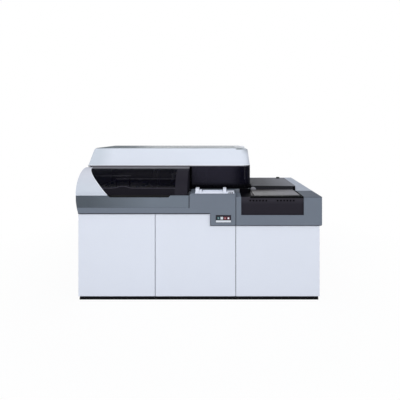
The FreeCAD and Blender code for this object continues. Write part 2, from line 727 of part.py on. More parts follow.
travel = [box("rack_block", ("seam_two - 70", "seam_two + 62"),
              (lane_y[0] + " + 10", lane_y[1] + " - 10"), rack_z)]
for index in range(5):
    travel.append(tube("lane_tube_%d" % index, "seam_two - 56 + %d" % (26 * index),
                       "front + lane_depth + lane_wide / 2", rack_z[1],
                       deck_top + " + 56"))
node(join("travelling_rack", travel), "lane_rack")

# Left cheek: white quarter-round corner cut off by the sloping window edge, with the side wall behind it
round_centre = ("front + round_radius", "trim_high")


def round_shell(name, x, outer, inner, heights, depths=("front - 1", "front + round_radius")):
    """Quarter-round shell between two heights and two depths."""
    quarter = box(name + "_quarter", x, depths, heights)
    bar = rod(name + "_bar", "x", round_centre, x, outer)
    hollow = cut(name + "_hollow", bar, [rod(name + "_inside", "x", round_centre, x, inner)])
    return shared(name, [hollow, quarter])


def left_of_edge(name, gap):
    """Space left of the slanting edge between cheek and window, moved right by a gap."""
    edge = [("edge_foot + %s" % gap, "trim_high - 2"), ("edge_foot + %s" % gap, "trim_high"),
            ("edge_middle + %s" % gap, "trim_high + edge_rise"),
            ("edge_crown + %s" % gap, "trim_high + round_radius"),
            ("edge_crown + %s" % gap, "canopy_low + 5")]
    return slab(name, "front", [("left_end - 2", "trim_high - 2")] + edge + [("left_end - 2",
                                                                              "canopy_low + 5")],
                ("front - 3", "front + canopy_front + 12"))


crown = "trim_high + round_radius + 1"
cheek_x = ("left_end", "edge_foot")
cheek_shell = round_shell("cheek_round", cheek_x, "round_radius", "round_radius - skin",
                          ("trim_high", crown))
cheek_cut = shared("cheek_cut", [cheek_shell, left_of_edge("cheek_limit", "0")])
end_round = shared("cheek_end", [
    rod("cheek_end_bar", "x", round_centre, ("left_end", "left_end + skin"), "round_radius"),
    box("cheek_end_quarter", ("left_end", "left_end + skin"), ("front - 1", "front + round_radius"),
        ("trim_high", crown)),
])
end_wall = box("cheek_wall", ("left_end", "left_end + skin"),
               ("front + round_radius", "front + housing_front"),
               ("trim_high", "canopy_low - 8"))
node(join("cheek", [cheek_cut, end_round, end_wall]), "left_cheek")

# Left window: smoked quarter-round pane in a dark frame with sill, pillar, end wall and crown rail
bump_x = ("bump_left", "bump_right")


def bump_outline(name):
    """Smooth low hump seen from the front, with a little below its foot."""
    line = [("bump_left", "sill_high - 1")]
    for step in range(9):
        rise = (1 - math.cos(math.tau * step / 8)) / 2
        line.append(("bump_left + (bump_right - bump_left) * %g" % (step / 8),
                     "sill_high + bump_high * %.4f" % rise))
    line.append(("bump_right", "sill_high - 1"))
    return slab(name, "front", line, ("front - 2", "front + 60"))


pane = round_shell("pane_round", ("edge_crown", "pillar_left"), "round_radius - 0.5",
                   "round_radius - 4.5",
                   ("sill_high", crown), ("front - 1", "front + rail_front"))
node(cut("pane", pane, [left_of_edge("pane_limit", "edge_gap"), bump_outline("bump_space")]),
     "left_window")
sill = cut("sill", round_shell("sill_round", ("edge_middle", "pillar_right"), "round_radius",
                               "round_radius - 9",
                               ("trim_high + 4", "sill_high")), [left_of_edge("sill_limit", "edge_gap")])
bump_round = round_shell("bump_round", bump_x, "round_radius", "round_radius - 9",
                         ("sill_high - 1", "sill_high + bump_high + 1"))
bump = shared("bump", [bump_round, bump_outline("bump_limit")])
pillar = round_shell("pillar", ("pillar_left", "pillar_right"), "round_radius", "round_radius - 9",
                     ("sill_high", crown))
rail_x = ("edge_crown + edge_gap", "pillar_right")
rail = cut("crown_rail", round_shell("rail_round", ("edge_crown", "pillar_right"), "round_radius",
                                     "round_radius - 7",
                                     ("trim_high", crown), ("front + rail_front",
                                                            "front + round_radius")),
           [left_of_edge("rail_limit", "edge_gap")])
rail_flat = box("rail_flat", rail_x, ("front + round_radius", "front + canopy_front + 6"),
                ("trim_high + round_radius - 7", "canopy_low"))
cap_round = shared("cap_round", [
    rod("cap_bar", "x", round_centre, ("pillar_right - 6", "pillar_right"), "round_radius"),
    box("cap_quarter", ("pillar_right - 6", "pillar_right"), ("front - 1", "front + round_radius"),
        ("trim_high + 4", crown)),
])
cap_wall = box("cap_wall", ("pillar_right - 6", "pillar_right"),
               ("front + round_radius", "front + canopy_front + 6"),
               ("window_low", "canopy_low"))
node(join("window_frame", [sill, bump, pillar, rail, rail_flat, cap_round, cap_wall]),
     "left_window_frame")

# Right window: smoked wrap-round pane, front, rounded corner and right side in one
corner = 88


def rounded_block(name, x, y, z, radius):
    """Block with its front right upright edge rounded."""
    block = box(name + "_block", x, y, z)
    return softened(name, block, [
        (lambda spot, edge: near(spot.x, x[1]) and near(spot.y, y[0]) and edge.Length > 50, radius)])


wrap_out = rounded_block("wrap_out", ("pillar_right", "canopy_right"),
                         ("front + ledge_back", "front + canopy_back - 4"),
                         ("window_low", "canopy_low"), corner)
wrap_in = rounded_block("wrap_in", ("pillar_right - 1", "canopy_right - 4"),
                        ("front + ledge_back + 4", "front + canopy_back"),
                        ("window_low - 1", "canopy_low + 1"), corner - 4)
node(cut("wrap", wrap_out, [wrap_in]), "right_window")


# Canopy: leaning front, flat top with a slope at its right end, soft corners, hollow underneath, with hinge
# lugs at its rear edge
def canopy_solid(name, inset, corner_radius, low):
    """Canopy volume drawn in by an inset on every outer side."""
    side = slab(name + "_side", "side",
                [("front + canopy_front + %g" % inset, low), ("front + canopy_back", low),
                 ("front + canopy_back", "canopy_high - %g" % inset),
                 ("front + canopy_front + canopy_lean + %g" % inset, "canopy_high - %g" % inset)],
                ("canopy_left", "canopy_right"))
    face = slab(name + "_face", "front",
                [("canopy_left + %g" % inset, low), ("canopy_right - %g" % inset, low),
                 ("canopy_right - 16 - %g" % inset, "canopy_high - %g" % inset),
                 ("canopy_left + 24 + %g" % inset, "canopy_high - %g" % inset)],
                ("front", "back"))
    both = shared(name + "_both", [side, face])
    doc.recompute()
    upright = "(canopy_high + canopy_low) / 2"

    def is_front_corner(spot, edge, x):
        return abs(spot.z - worth(upright)) < 30 and spot.y < worth("front + canopy_front + 120") \
            and abs(spot.x - worth(x)) < 30 and edge.Length > 100

    soft = softened(name + "_soft", both, [
        (lambda spot, edge: is_front_corner(spot, edge, "canopy_right"), corner_radius),
        (lambda spot, edge: is_front_corner(spot, edge, "canopy_left"), corner_radius / 8.0),
        (lambda spot, edge: near(spot.z, "canopy_high - %g" % inset)
         and spot.y < worth("front + canopy_back - 5"), max(4.0, 26 - inset)),
    ])
    slope = slab(name + "_slope", "front", [
        ("canopy_right - 66 - %g" % inset, "canopy_high - %g" % inset),
        ("canopy_right - 14 - %g" % inset, "canopy_high - 16 - %g" % inset),
        ("canopy_right + 5", "canopy_high - 16 - %g" % inset), ("canopy_right + 5", "canopy_high + 5"),
        ("canopy_right - 66 - %g" % inset, "canopy_high + 5")], ("front", "back"))
    return cut(name, soft, [slope])


canopy_out = canopy_solid("canopy_out", 0, corner, "canopy_low")
canopy_in = canopy_solid("canopy_in", 6, corner - 6, "canopy_low - 5")
canopy = cut("canopy", canopy_out, [canopy_in])
hood_axis = ("front + axis_depth", "canopy_high - axis_drop")
lug_places = ("canopy_left + 120", "pillar_left - 140", "canopy_right - 190")
lugs = []
lug_bores = []
for index, x in enumerate(lug_places):
    lugs.append(box("lug_%d" % index, (x, x + " + 60"),
                    ("front + canopy_back - 40", "front + axis_depth"),
                    ("canopy_high - axis_drop - 9", "canopy_high - 3")))
    lugs.append(rod("lug_eye_%d" % index, "x", hood_axis, (x, x + " + 60"), 9))
    lug_bores.append(rod("lug_bore_%d" % index, "x", hood_axis, (x + " - 1", x + " + 61"),
                         "pin_radius + pin_play"))
node(cut("hood", join("hood_whole", [canopy] + lugs), lug_bores), "hood_shell")

# Rear housing: fixed back of the upper part, standing on the deck, with vent slots
housing_side = [("front + housing_front", "trim_high"),
                ("front + housing_front", "canopy_high - axis_drop + 1"),
                ("back - 44", "canopy_high - axis_drop + 1"), ("back", "canopy_high - axis_drop - 48"),
                ("back", "trim_high")]
housing_out = slab("housing_out", "side", housing_side, ("left_end", "canopy_right - 8"))
housing_in = slab("housing_in", "side",
                  [("front + housing_front + 8", "trim_high - 1"),
                   ("front + housing_front + 8", "canopy_high - axis_drop - 7"),
                   ("back - 48", "canopy_high - axis_drop - 7"),
                   ("back - 8", "canopy_high - axis_drop - 51"), ("back - 8", "trim_high - 1")],
                  ("left_end + 8", "canopy_right - 16"))
vents = []
for index in range(9):
    low = "canopy_high - axis_drop - 200 + 14 * %d" % index
    for side, x in enumerate((-760, 60)):
        vents.append(box("vent_%d_%d" % (side, index), (x, x + 220), ("back - 9", "back + 1"),
                         (low, low + " + 6")))
housing_shell = cut("housing_shell", housing_out, [housing_in] + vents)
foot_wall = cut("foot_wall", box("foot_out", ("-frame_side + 2", "canopy_right - 22"),
                                 ("front + housing_front", "front + frame_back - 2"),
                                 (deck_top, "trim_high")),
                [box("foot_in", ("-frame_side + 8", "canopy_right - 28"),
                     ("front + housing_front + 8", "front + frame_back - 8"),
                     ("deck_low", "trim_high + 1"))])
ledges = box("foot_ledge", ("left_end + 4", "-frame_side + 8"),
             ("front + housing_front + 4", "front + frame_back - 2"),
             ("trim_high", "trim_high + 6"))
forks = []
fork_pins = []
for index, x in enumerate(lug_places):
    for side, start in enumerate((x + " - 11", x + " + 61")):
        forks.append(box("fork_%d_%d" % (index, side), (start, start + " + 10"),
                         ("front + axis_depth", "front + housing_front"),
                         ("canopy_high - axis_drop - 9", "canopy_high - axis_drop + 1")))
        forks.append(rod("fork_eye_%d_%d" % (index, side), "x", hood_axis,
                         (start, start + " + 10"), 9))
    fork_pins.append(rod("fork_pin_%d" % index, "x", hood_axis, (x + " - 11", x + " + 71"),
                         "pin_radius"))
node(join("housing", [housing_shell, foot_wall, ledges] + forks + fork_pins), "rear_housing")

# Switch plate with four square openings and the light strip under them
plate_z = ("short_low + 24", "short_low + 83")
switch_plate = box("switch_plate", switch_x, ("front + 3", "front + 7"), plate_z)
switch_strip = box("switch_strip", switch_x, ("front + 0.8", "front + 3"),
                   (plate_z[0], plate_z[0] + " + 17"))
switch_stems = [box("switch_stem_%d" % index, (x, x + " + 8"), ("front + 7", "front + 16"), plate_z)
                for index, x in enumerate((switch_x[0], switch_x[1] + " - 8"))]
button_names = ("teal_button", "light_button", "red_button", "round_button")
button_x = [switch_x[0] + " + %g" % (11 + 25.5 * index) for index in range(4)]
button_z = (plate_z[0] + " + 24", plate_z[0] + " + 44")
openings = []
for index, x in enumerate(button_x):
    openings.append(box("button_opening_%d" % index, (x + " - 0.3", x + " + 20.3"),
                        ("front + 2", "front + 8"),
                        (button_z[0] + " - 0.3", button_z[1] + " + 0.3")))
node(cut("switches", join("switches_whole", [switch_plate, switch_strip] + switch_stems), openings),
     "switch_panel")
for index, x in enumerate(button_x):
    cap = box("button_cap_%d" % index, (x, x + " + 20"), ("front + 0.4", "front + 12"), button_z)
    node(softened("button_soft_%d" % index, cap, [(lambda spot, edge: near(spot.y, "front + 0.4"), 1.5)]),
         button_names[index])

# Urgent-sample lane on the ledge: white moulded channel with two end posts
post_high = "panel_high + 37"
stat_parts = [
    box("stat_floor", ("panel_left + 44", "seam_two - 72"), ("front + 6", "front + 80"),
        ("panel_high", "panel_high + 6")),
    box("stat_bar_front", ("panel_left + 98", "seam_two - 101"), ("front + 6", "front + 14"),
        ("panel_high + 6", "panel_high + 15")),
    box("stat_bar_back", ("panel_left + 98", "seam_two - 101"), ("front + 66", "front + 80"),
        ("panel_high + 6", "panel_high + 15")),
    box("stat_post_left", ("panel_left + 48", "panel_left + 74"), ("front + 10", "front + 74"),
        ("panel_high + 6", post_high)),
    box("stat_step_left", ("panel_left + 76", "panel_left + 94"), ("front + 10", "front + 60"),
        ("panel_high + 6", "panel_high + 24")),
    box("stat_post_right", ("seam_two - 97", "seam_two - 73"), ("front + 10", "front + 74"),
        ("panel_high + 6", post_high)),
    box("stat_shelf", ("seam_two - 72", "seam_two - 12"), ("front + 8", "front + 78"),
        ("panel_high", "panel_high + 11")),
]
node(join("stat_whole", stat_parts), "stat_lane")

# Feeder front frame: grey portal round the rack bay and its dark right margin
bay_x = ("bay_edge", "bay_right")
portal_slab = slab("portal_slab", "front", [
    ("feeder_left", "short_low"), ("right_end", "short_low"), ("right_end", "feeder_high"),
    ("bay_right", "feeder_high"), ("bay_right", "bay_low"), ("bay_edge", "bay_low"),
    ("bay_edge", "feeder_high"), ("feeder_left", "feeder_high")], ("front", "front + fascia_deep"))
portal = softened("portal_soft", portal_slab, [
    (lambda spot, edge: near(spot.x, "right_end") and near(spot.z, "short_low") and edge.Length < 41, 10),
    (lambda spot, edge: near(spot.y, "front"), 2),
])
margin_split = "front + 262"
portal_parts = [
    portal,
    box("margin_top", ("bay_right", "right_end"), ("front + fascia_deep", margin_split),
        ("feeder_high - 10", "feeder_high")),
    box("margin_side", ("right_end - 10", "right_end"), ("front + fascia_deep", margin_split),
        ("short_low", "feeder_high - 10")),
    box("margin_wall", ("bay_right", "bay_right + 10"), ("front + fascia_deep", margin_split),
        ("bay_low - 10", "feeder_high - 10")),
    box("left_cover", ("feeder_left", "bay_edge"), ("front + fascia_deep", "front + ledge_back"),
        ("deck_low", "feeder_high")),
    box("portal_arm_left", ("seam_two + 22", "seam_two + 62"),
        ("front + fascia_deep", "front + frame_front"),
        ("short_low", "short_low + 30")),
    box("portal_arm_right", ("frame_side - tube", "frame_side"),
        ("front + fascia_deep", "front + frame_front"),
        ("short_low", "short_low + 30")),
]
portal_seat = box("portal_seat", ("seam_two + 22", "frame_side"),
                  ("front + frame_front", "front + frame_front + tube"),
                  ("short_low", "short_low + 8"))
node(join("portal", portal_parts + [portal_seat]), "feeder_front")

# Feeder body: light housing behind the portal with the floor and walls of the rack bay
lid_low = "feeder_high + lid_rise - lid_thick"
body_parts = [
    box("body_side", ("right_end - 10", "right_end"), (margin_split, "back"),
        ("short_low", "feeder_high")),
    box("body_foot", ("frame_side - tube", "right_end - 10"), (margin_split, "front + frame_back"),
        ("short_low", "short_low + 6")),
    box("body_foot_rear", ("seam_two + 22", "frame_side - tube"), depth_back,
        ("short_low", "short_low + 6")),
    box("body_top_right", ("bay_right", "right_end - 10"), (margin_split, "back"),
        ("feeder_high - 10", "feeder_high")),
    box("body_top_back", ("bay_left", "bay_right"), ("front + bay_back - 10", "back"),
        ("feeder_high - 10", "feeder_high")),
    box("body_back", ("feeder_left", "right_end - 10"), ("back - 10", "back"),
        ("short_low", "feeder_high - 10")),
    box("body_bay_right", ("bay_right", "bay_right + 10"), (margin_split, "front + bay_back"),
        ("bay_low - 10", "feeder_high - 10")),
    box("body_bay_left", ("bay_left - 6", "bay_left"), ("front + fascia_deep", "back - 10"),
        ("bay_low - 10", "feeder_high")),
    box("body_bay_floor", ("bay_left - 6", "bay_right"), ("front + fascia_deep", "front + bay_back"),
        ("bay_low - 10", "bay_low")),
    box("body_bay_back", ("bay_left", "bay_right"), ("front + bay_back - 10", "front + bay_back"),
        ("bay_low", "feeder_high - 10")),
    box("body_leg_front", ("bay_left - 6", "bay_right + 10"),
        ("front + frame_front", "front + frame_front + 20"),
        ("short_low + 8", "bay_low - 10")),
    box("body_leg_back", ("bay_left - 6", "bay_right + 10"),
        ("front + frame_back - 20", "front + frame_back"),
        ("short_low + 6", "bay_low - 10")),
    box("body_leg_top", ("bay_left - 6", "bay_right + 10"), ("front + bay_back", "front + frame_back"),
        ("bay_low - 10", "bay_low")),
    box("lid_rest_left", ("bay_left", "bay_left + 10"), ("front + fascia_deep", "front + lid_axis - 16"),
        ("feeder_high - 14", lid_low + " - 0.3")),
]
node(join("feeder", body_parts), "feeder_body")

# Bay front panel: black plate with two rows of rack slots, and the filler beside the lid
panel_plate = box("bay_plate", bay_x, ("front + 8", "front + 16"), ("bay_low", lid_low + " - 1"))
bay_slots = []
for side, first in enumerate(("slot_first", "slot_second")):
    for index in range(6):
        x = "%s + slot_pitch * %d" % (first, index)
        bay_slots.append(box("bay_slot_%d_%d" % (side, index), (x + " - 6", x + " + 6"),
                             ("front + 7", "front + 12"),
                             ("bay_low + 103", "bay_low + 117")))
filler = box("filler", ("bay_edge", "bay_left - 6"), ("front + 16", "front + ledge_back"),
             ("feeder_high - 14", "feeder_high - 2"))
filler_wall = box("filler_wall", ("bay_left - 6", "bay_left"), ("front + 16", "front + fascia_deep"),
                  ("bay_low", "feeder_high - 2"))
bay_feet = box("bay_feet", bay_x, ("front + 16", "front + fascia_deep"), ("bay_low", "bay_low + 6"))
upright = box("filler_upright", ("bay_edge", "bay_left - 6"),
              ("front + ledge_back - 2", "front + ledge_back + 6"),
              ("feeder_high - 14", "window_low - 6"))
rail_side = box("rail_side", ("bay_right - lid_rail", "bay_right"), ("front + 8", "front + lid_axis - 8"),
                ("feeder_high - 14", "feeder_high + 2"))
rail_ledge = box("rail_ledge", ("bay_right - lid_rail - 10", "bay_right - lid_rail"),
                 ("front + 16", "front + lid_axis - 16"), ("feeder_high - 14", lid_low + " - 0.3"))
node(join("bay_panel", [cut("bay_slotted", panel_plate, bay_slots), filler, filler_wall, bay_feet,
                        upright, rail_side,
                        rail_ledge]), "bay_front_panel")

# Rack trays with the sample racks standing in them
tray_parts = []
rack_parts = []
for side, (first, count) in enumerate((("slot_first + slot_pitch * 2", 5), ("slot_second", 6))):
    x = ("%s - 14" % first, "%s + slot_pitch * %d + 14" % (first, count - 1))
    tray_parts.append(box("tray_%d" % side, x, ("front + 46", "front + 284"), ("bay_low", "bay_low + 6")))
    for index in range(count):
        middle = "%s + slot_pitch * %d" % (first, index)
        whole = [box("rack_%d_%d" % (side, index), (middle + " - 10", middle + " + 10"),
                     ("front + 52", "front + 272"), ("bay_low + 6", "bay_low + 62"))]
        for place in range(5):
            whole.append(tube("rack_tube_%d_%d_%d" % (side, index, place), middle,
                              "front + 74 + 44 * %d" % place,
                              "bay_low + 62", "bay_low + 100"))
        rack_parts.append(join("rack_full_%d_%d" % (side, index), whole))
rail = box("tray_rail", ("slot_first + slot_pitch * 2 - 14", "slot_second + slot_pitch * 5 + 14"),
           ("front + 276", "front + 284"), ("bay_low", "bay_low + 30"))
node(join("trays", tray_parts + [rail]), "rack_trays")
racks = doc.addObject("Part::Compound", "racks")
racks.Links = rack_parts
node(racks, "sample_racks")

# Rack bay lid: smoked flush cover turning on two pins at its rear edge
lid_x = ("bay_left + 2", "bay_right - lid_rail - 2")
lid_pivot = ("front + lid_axis", "feeder_high - 4")
lid_block = box("lid_block", lid_x, ("front + 10", "front + lid_axis + 5"),
                (lid_low, "feeder_high + lid_rise"))
lid_soft = softened("lid_soft", lid_block, [
    (lambda spot, edge: near(spot.z, "feeder_high + lid_rise"), 3)])
lid_ears = [box("lid_ear_%d" % index, (x, x + " + 16"), ("front + lid_axis - 6", "front + lid_axis + 5"),
                ("feeder_high - 9", lid_low)) for index, x in enumerate((lid_x[0], lid_x[1] + " - 16"))]
lid_bores = [rod("lid_bore_left", "x", lid_pivot, (lid_x[0] + " - 1", lid_x[0] + " + 17"),
                 "2.5 + pin_play"),
             rod("lid_bore_right", "x", lid_pivot, (lid_x[1] + " - 17", lid_x[1] + " + 1"),
                 "2.5 + pin_play")]
node(cut("lid", join("lid_whole", [lid_soft] + lid_ears), lid_bores), "rack_lid")

# Rear lid: raised cover over the rack transport, hinged behind
cover_x = ("bay_left + 6", "bay_right + 4")
cover_z = ("feeder_high + 0.5", "feeder_high + 40")
cover_y = ("front + bay_split", "front + bay_back - 4")
cover_block = box("cover_block", cover_x, cover_y, cover_z)
cover_soft = softened("cover_soft", cover_block, [(lambda spot, edge: near(spot.z, cover_z[1]), 7)])
cover_inside = box("cover_inside", (cover_x[0] + " + 8", cover_x[1] + " - 8"),
                   (cover_y[0] + " + 8", cover_y[1] + " - 8"),
                   (cover_z[0] + " - 1", cover_z[1] + " - 8"))
cover_axis = ("front + bay_back + 8", "feeder_high + 12")
knuckles = []
knuckle_bores = []
for index, x in enumerate(("bay_left + 60", "bay_right - 116")):
    knuckles.append(rod("knuckle_%d" % index, "x", cover_axis, (x, x + " + 56"), 8))
    knuckles.append(box("knuckle_root_%d" % index, (x, x + " + 56"), (cover_y[1] + " - 1", cover_axis[0]),
                        ("feeder_high + 6", "feeder_high + 18")))
    knuckle_bores.append(rod("knuckle_bore_%d" % index, "x", cover_axis, (x + " - 1", x + " + 57"),
                             "pin_radius + pin_play"))
cover_shell = cut("cover_shell", cover_soft, [cover_inside])
node(cut("cover", join("cover_whole", [cover_shell] + knuckles), knuckle_bores), "rear_lid")

# Hinge pins of the doors, and pins and brackets of the two feeder lids
hinges = []
for index, (x, high, low_face) in enumerate(zip(pivots, ("door_high", "short_high", "short_high"),
                                                ("band_low", "short_low", "short_low"))):
    hinges.append(rod("door_pin_high_%d" % index, "z", (x, pivot_y), (high + " - 18", low_face),
                      "pin_radius"))
    hinges.append(rod("door_pin_low_%d" % index, "z", (x, pivot_y), ("door_low - 4", "door_low + 18"),
                      "pin_radius"))
hinges.append(rod("lid_pin_left", "x", lid_pivot, ("bay_left", lid_x[0] + " + 15"), 2.5))
hinges.append(rod("lid_pin_right", "x", lid_pivot, (lid_x[1] + " - 15", "bay_right"), 2.5))
for index, x in enumerate(("bay_left + 60", "bay_right - 116")):
    hinges.append(join("cover_hinge_%d" % index, [
        rod("cover_pin_%d" % index, "x", cover_axis, (x + " - 5", x + " + 61"), "pin_radius"),
        box("cover_bracket_left_%d" % index, (x + " - 6", x + " - 1"),
            (cover_axis[0] + " - 8", cover_axis[0] + " + 8"),
            ("feeder_high", "feeder_high + 20")),
        box("cover_bracket_right_%d" % index, (x + " + 57", x + " + 62"),
            (cover_axis[0] + " - 8", cover_axis[0] + " + 8"),
            ("feeder_high", "feeder_high + 20")),
    ]))
pins = doc.addObject("Part::Compound", "pins")
pins.Links = hinges
node(pins, "hinge_pins")

# Syringe block behind the middle door, and its three plungers on one carriage
block_y = ("front + wall_depth - 12", "front + wall_depth")
barrel_y = "front + wall_depth - 53"
plunger_radius = 9
syringe_parts = [box("syringe_plate", ("0 - syringe_half", "syringe_half"), block_y,
                     ("syringe_low", "syringe_high"))]
plunger_parts = [box("plunger_bar", ("26 - syringe_half", "syringe_half - 26"),
                     (barrel_y + " - 15", barrel_y + " + 15"),
                     ("syringe_low + 52", "syringe_low + 66"))]
for index in range(3):
    x = 44 * (index - 1)
    middle = (x, barrel_y)
    outside = rod("barrel_out_%d" % index, "z", middle, ("syringe_low + 130", "syringe_low + 260"),
                  plunger_radius + 4)
    inside = rod("barrel_in_%d" % index, "z", middle, ("syringe_low + 129", "syringe_low + 252"),
                 plunger_radius)
    syringe_parts.append(cut("barrel_%d" % index, outside, [inside]))
    syringe_parts.append(box("clamp_%d" % index, (x - 17, x + 17), (barrel_y + " + 11", block_y[0]),
                             ("syringe_low + 200", "syringe_low + 240")))
    plunger_parts.append(rod("plunger_%d" % index, "z", middle, ("syringe_low + 66", "syringe_low + 170"),
                             "%d - pin_play" % plunger_radius))
node(join("syringes", syringe_parts), "syringe_block")
node(join("plungers", plunger_parts), "syringe_plungers")

# Power supply in the left cabinet and waste tank in the right one
floor_top = "frame_low + 23"
supply = box("supply_case", ("supply_left", "supply_right"), ("front + 200", "front + 620"),
             (floor_top, floor_top + " + supply_high"))
supply_slots = [box("supply_slot_%d" % index, ("supply_left + 30", "supply_left + 180"),
                    ("front + 199", "front + 206"),
                    ("%s + %d" % (floor_top, 57 + 16 * index), "%s + %d" % (floor_top, 64 + 16 * index)))
                for index in range(6)]
node(cut("supply", supply, supply_slots), "power_supply")
tank = softened("tank", box("tank_block", ("tank_left", "tank_right"), ("front + 220", "front + 640"),
                            (floor_top, "tank_high")),
                [(lambda spot, edge: near(spot.z, "(%s + tank_high) / 2" % floor_top), 30)])
neck = rod("tank_neck", "z", ("tank_left + 120", "front + 330"), ("tank_high", "tank_high + 30"), 34)
node(join("tank_whole", [tank, neck]), "waste_tank")

doc.recompute()
for part in doc.Objects:
    if "Invalid" in part.State or "Error" in part.State:
        raise RuntimeError("object in error: " + part.Name)
for part in nodes:
    if part.Shape.isNull() or not part.Shape.isValid():
        raise RuntimeError("bad shape: " + part.Label)
    part.Shape.exportStep("parts/%s.step" % part.Label)
print("nodes", len(nodes))
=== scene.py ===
import math

import bpy
import bmesh
from mathutils import Matrix, Vector


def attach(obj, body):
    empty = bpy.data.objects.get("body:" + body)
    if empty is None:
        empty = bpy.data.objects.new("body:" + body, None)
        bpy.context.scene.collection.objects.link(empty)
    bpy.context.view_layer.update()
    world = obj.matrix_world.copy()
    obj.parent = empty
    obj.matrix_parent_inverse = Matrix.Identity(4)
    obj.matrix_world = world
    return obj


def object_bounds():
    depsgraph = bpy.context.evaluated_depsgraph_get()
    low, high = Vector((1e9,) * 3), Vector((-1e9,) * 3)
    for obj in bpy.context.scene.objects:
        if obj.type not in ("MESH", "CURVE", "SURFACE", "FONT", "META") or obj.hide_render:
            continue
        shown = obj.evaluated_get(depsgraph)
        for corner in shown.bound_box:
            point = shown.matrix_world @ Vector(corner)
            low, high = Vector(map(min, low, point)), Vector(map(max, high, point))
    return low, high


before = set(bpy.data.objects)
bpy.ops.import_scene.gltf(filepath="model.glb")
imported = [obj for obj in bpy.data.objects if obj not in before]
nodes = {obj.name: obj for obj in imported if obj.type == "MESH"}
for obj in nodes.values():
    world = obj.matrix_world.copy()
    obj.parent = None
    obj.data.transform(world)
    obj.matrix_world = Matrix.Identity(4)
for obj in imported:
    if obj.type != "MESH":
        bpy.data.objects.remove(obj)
cad_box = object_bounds()
view = bpy.context.scene

# Studio: the machine stands on a plain white floor that runs back out of sight. The camera stands 2.4 m in
# front of the doors, a little above the hood, and its view is shifted, not turned. Large soft lamps hang in
# front, to the right, above and behind.
view.view_settings.view_transform = "Standard"
lens = bpy.data.cameras.new("front_camera")
lens.sensor_width = 36.0
lens.lens = 28.335
lens.shift_x = -0.05
lens.shift_y = -0.1675
lens.clip_end = 60.0
camera = bpy.data.objects.new("front_camera", lens)
camera.location = (0.161, -2.925, 1.277)
camera.rotation_euler = (math.radians(90.0), 0.0, 0.0)
view.collection.objects.link(camera)
view.camera = camera

sky = bpy.data.worlds.new("studio_sky")
view.world = sky
sky.use_nodes = True
sky_nodes = sky.node_tree.nodes
sky_links = sky.node_tree.links
sky_light = sky_nodes["Background"]
sky_light.inputs["Color"].default_value = (0.80, 0.84, 0.92, 1.0)
sky_light.inputs["Strength"].default_value = 0.50
sky_white = sky_nodes.new("ShaderNodeBackground")
sky_white.inputs["Color"].default_value = (1.0, 1.0, 1.0, 1.0)
sky_path = sky_nodes.new("ShaderNodeLightPath")
sky_mix = sky_nodes.new("ShaderNodeMixShader")
sky_links.new(sky_path.outputs["Is Camera Ray"], sky_mix.inputs["Fac"])
sky_links.new(sky_light.outputs["Background"], sky_mix.inputs[1])
sky_links.new(sky_white.outputs["Background"], sky_mix.inputs[2])
sky_links.new(sky_mix.outputs["Shader"], sky_nodes["World Output"].inputs["Surface"])

floor_size, floor_drop = 24.0, 0.0005
fade_near, fade_far, near_white = 1.3, 2.6, 0.94
bpy.ops.object.select_all(action="DESELECT")
bpy.ops.mesh.primitive_plane_add(size=floor_size, location=(0.0, 0.0, -floor_drop))
floor = bpy.context.object
floor.name = "studio_floor"
floor_paint = bpy.data.materials.new("floor_paint")
floor_paint.use_nodes = True
floor_nodes = floor_paint.node_tree.nodes
floor_links = floor_paint.node_tree.links
floor_matt = floor_nodes["Principled BSDF"]
floor_matt.inputs["Base Color"].default_value = (0.90, 0.90, 0.90, 1.0)
floor_matt.inputs["Roughness"].default_value = 0.9
floor_matt.inputs["Specular IOR Level"].default_value = 0.1
floor_glow = floor_nodes.new("ShaderNodeEmission")
floor_path = floor_nodes.new("ShaderNodeLightPath")
floor_place = floor_nodes.new("ShaderNodeTexCoord")
floor_reach = floor_nodes.new("ShaderNodeVectorMath")
floor_reach.operation = "LENGTH"
floor_fade = floor_nodes.new("ShaderNodeMapRange")
floor_fade.inputs["From Min"].default_value = fade_near
floor_fade.inputs["From Max"].default_value = fade_far
floor_fade.inputs["To Min"].default_value = near_white
floor_share = floor_nodes.new("ShaderNodeMath")
floor_share.operation = "MULTIPLY"
floor_mix = floor_nodes.new("ShaderNodeMixShader")
floor_links.new(floor_place.outputs["Object"], floor_reach.inputs[0])
floor_links.new(floor_reach.outputs["Value"], floor_fade.inputs["Value"])
floor_links.new(floor_path.outputs["Is Camera Ray"], floor_share.inputs[0])
floor_links.new(floor_fade.outputs["Result"], floor_share.inputs[1])
floor_links.new(floor_share.outputs["Value"], floor_mix.inputs["Fac"])
floor_links.new(floor_matt.outputs["BSDF"], floor_mix.inputs[1])
floor_links.new(floor_glow.outputs["Emission"], floor_mix.inputs[2])
floor_links.new(floor_mix.outputs["Shader"], floor_nodes["Material Output"].inputs["Surface"])
floor.data.materials.append(floor_paint)


def lamp(name, place, aim, width, height, power):
    """Soft rectangular studio lamp."""
    light = bpy.data.lights.new(name, "AREA")
    light.shape = "RECTANGLE"
    light.size = width
    light.size_y = height
    light.energy = power
    holder = bpy.data.objects.new(name, light)
    holder.location = place
    holder.rotation_euler = (Vector(aim) - Vector(place)).to_track_quat("-Z", "Y").to_euler()
    view.collection.objects.link(holder)


lamp("lamp_front", (-1.2, -4.6, 2.4), (0.0, 0.0, 0.5), 3.0, 2.0, 84.0)
lamp("lamp_right", (3.6, -2.4, 2.2), (0.3, 0.0, 0.6), 1.8, 2.2, 34.0)
lamp("lamp_above", (0.0, -0.4, 4.2), (0.0, 0.0, 0.6), 3.4, 2.4, 34.0)
lamp("lamp_behind", (0.0, 3.6, 2.8), (0.0, 0.0, 0.6), 3.0, 2.0, 40.0)


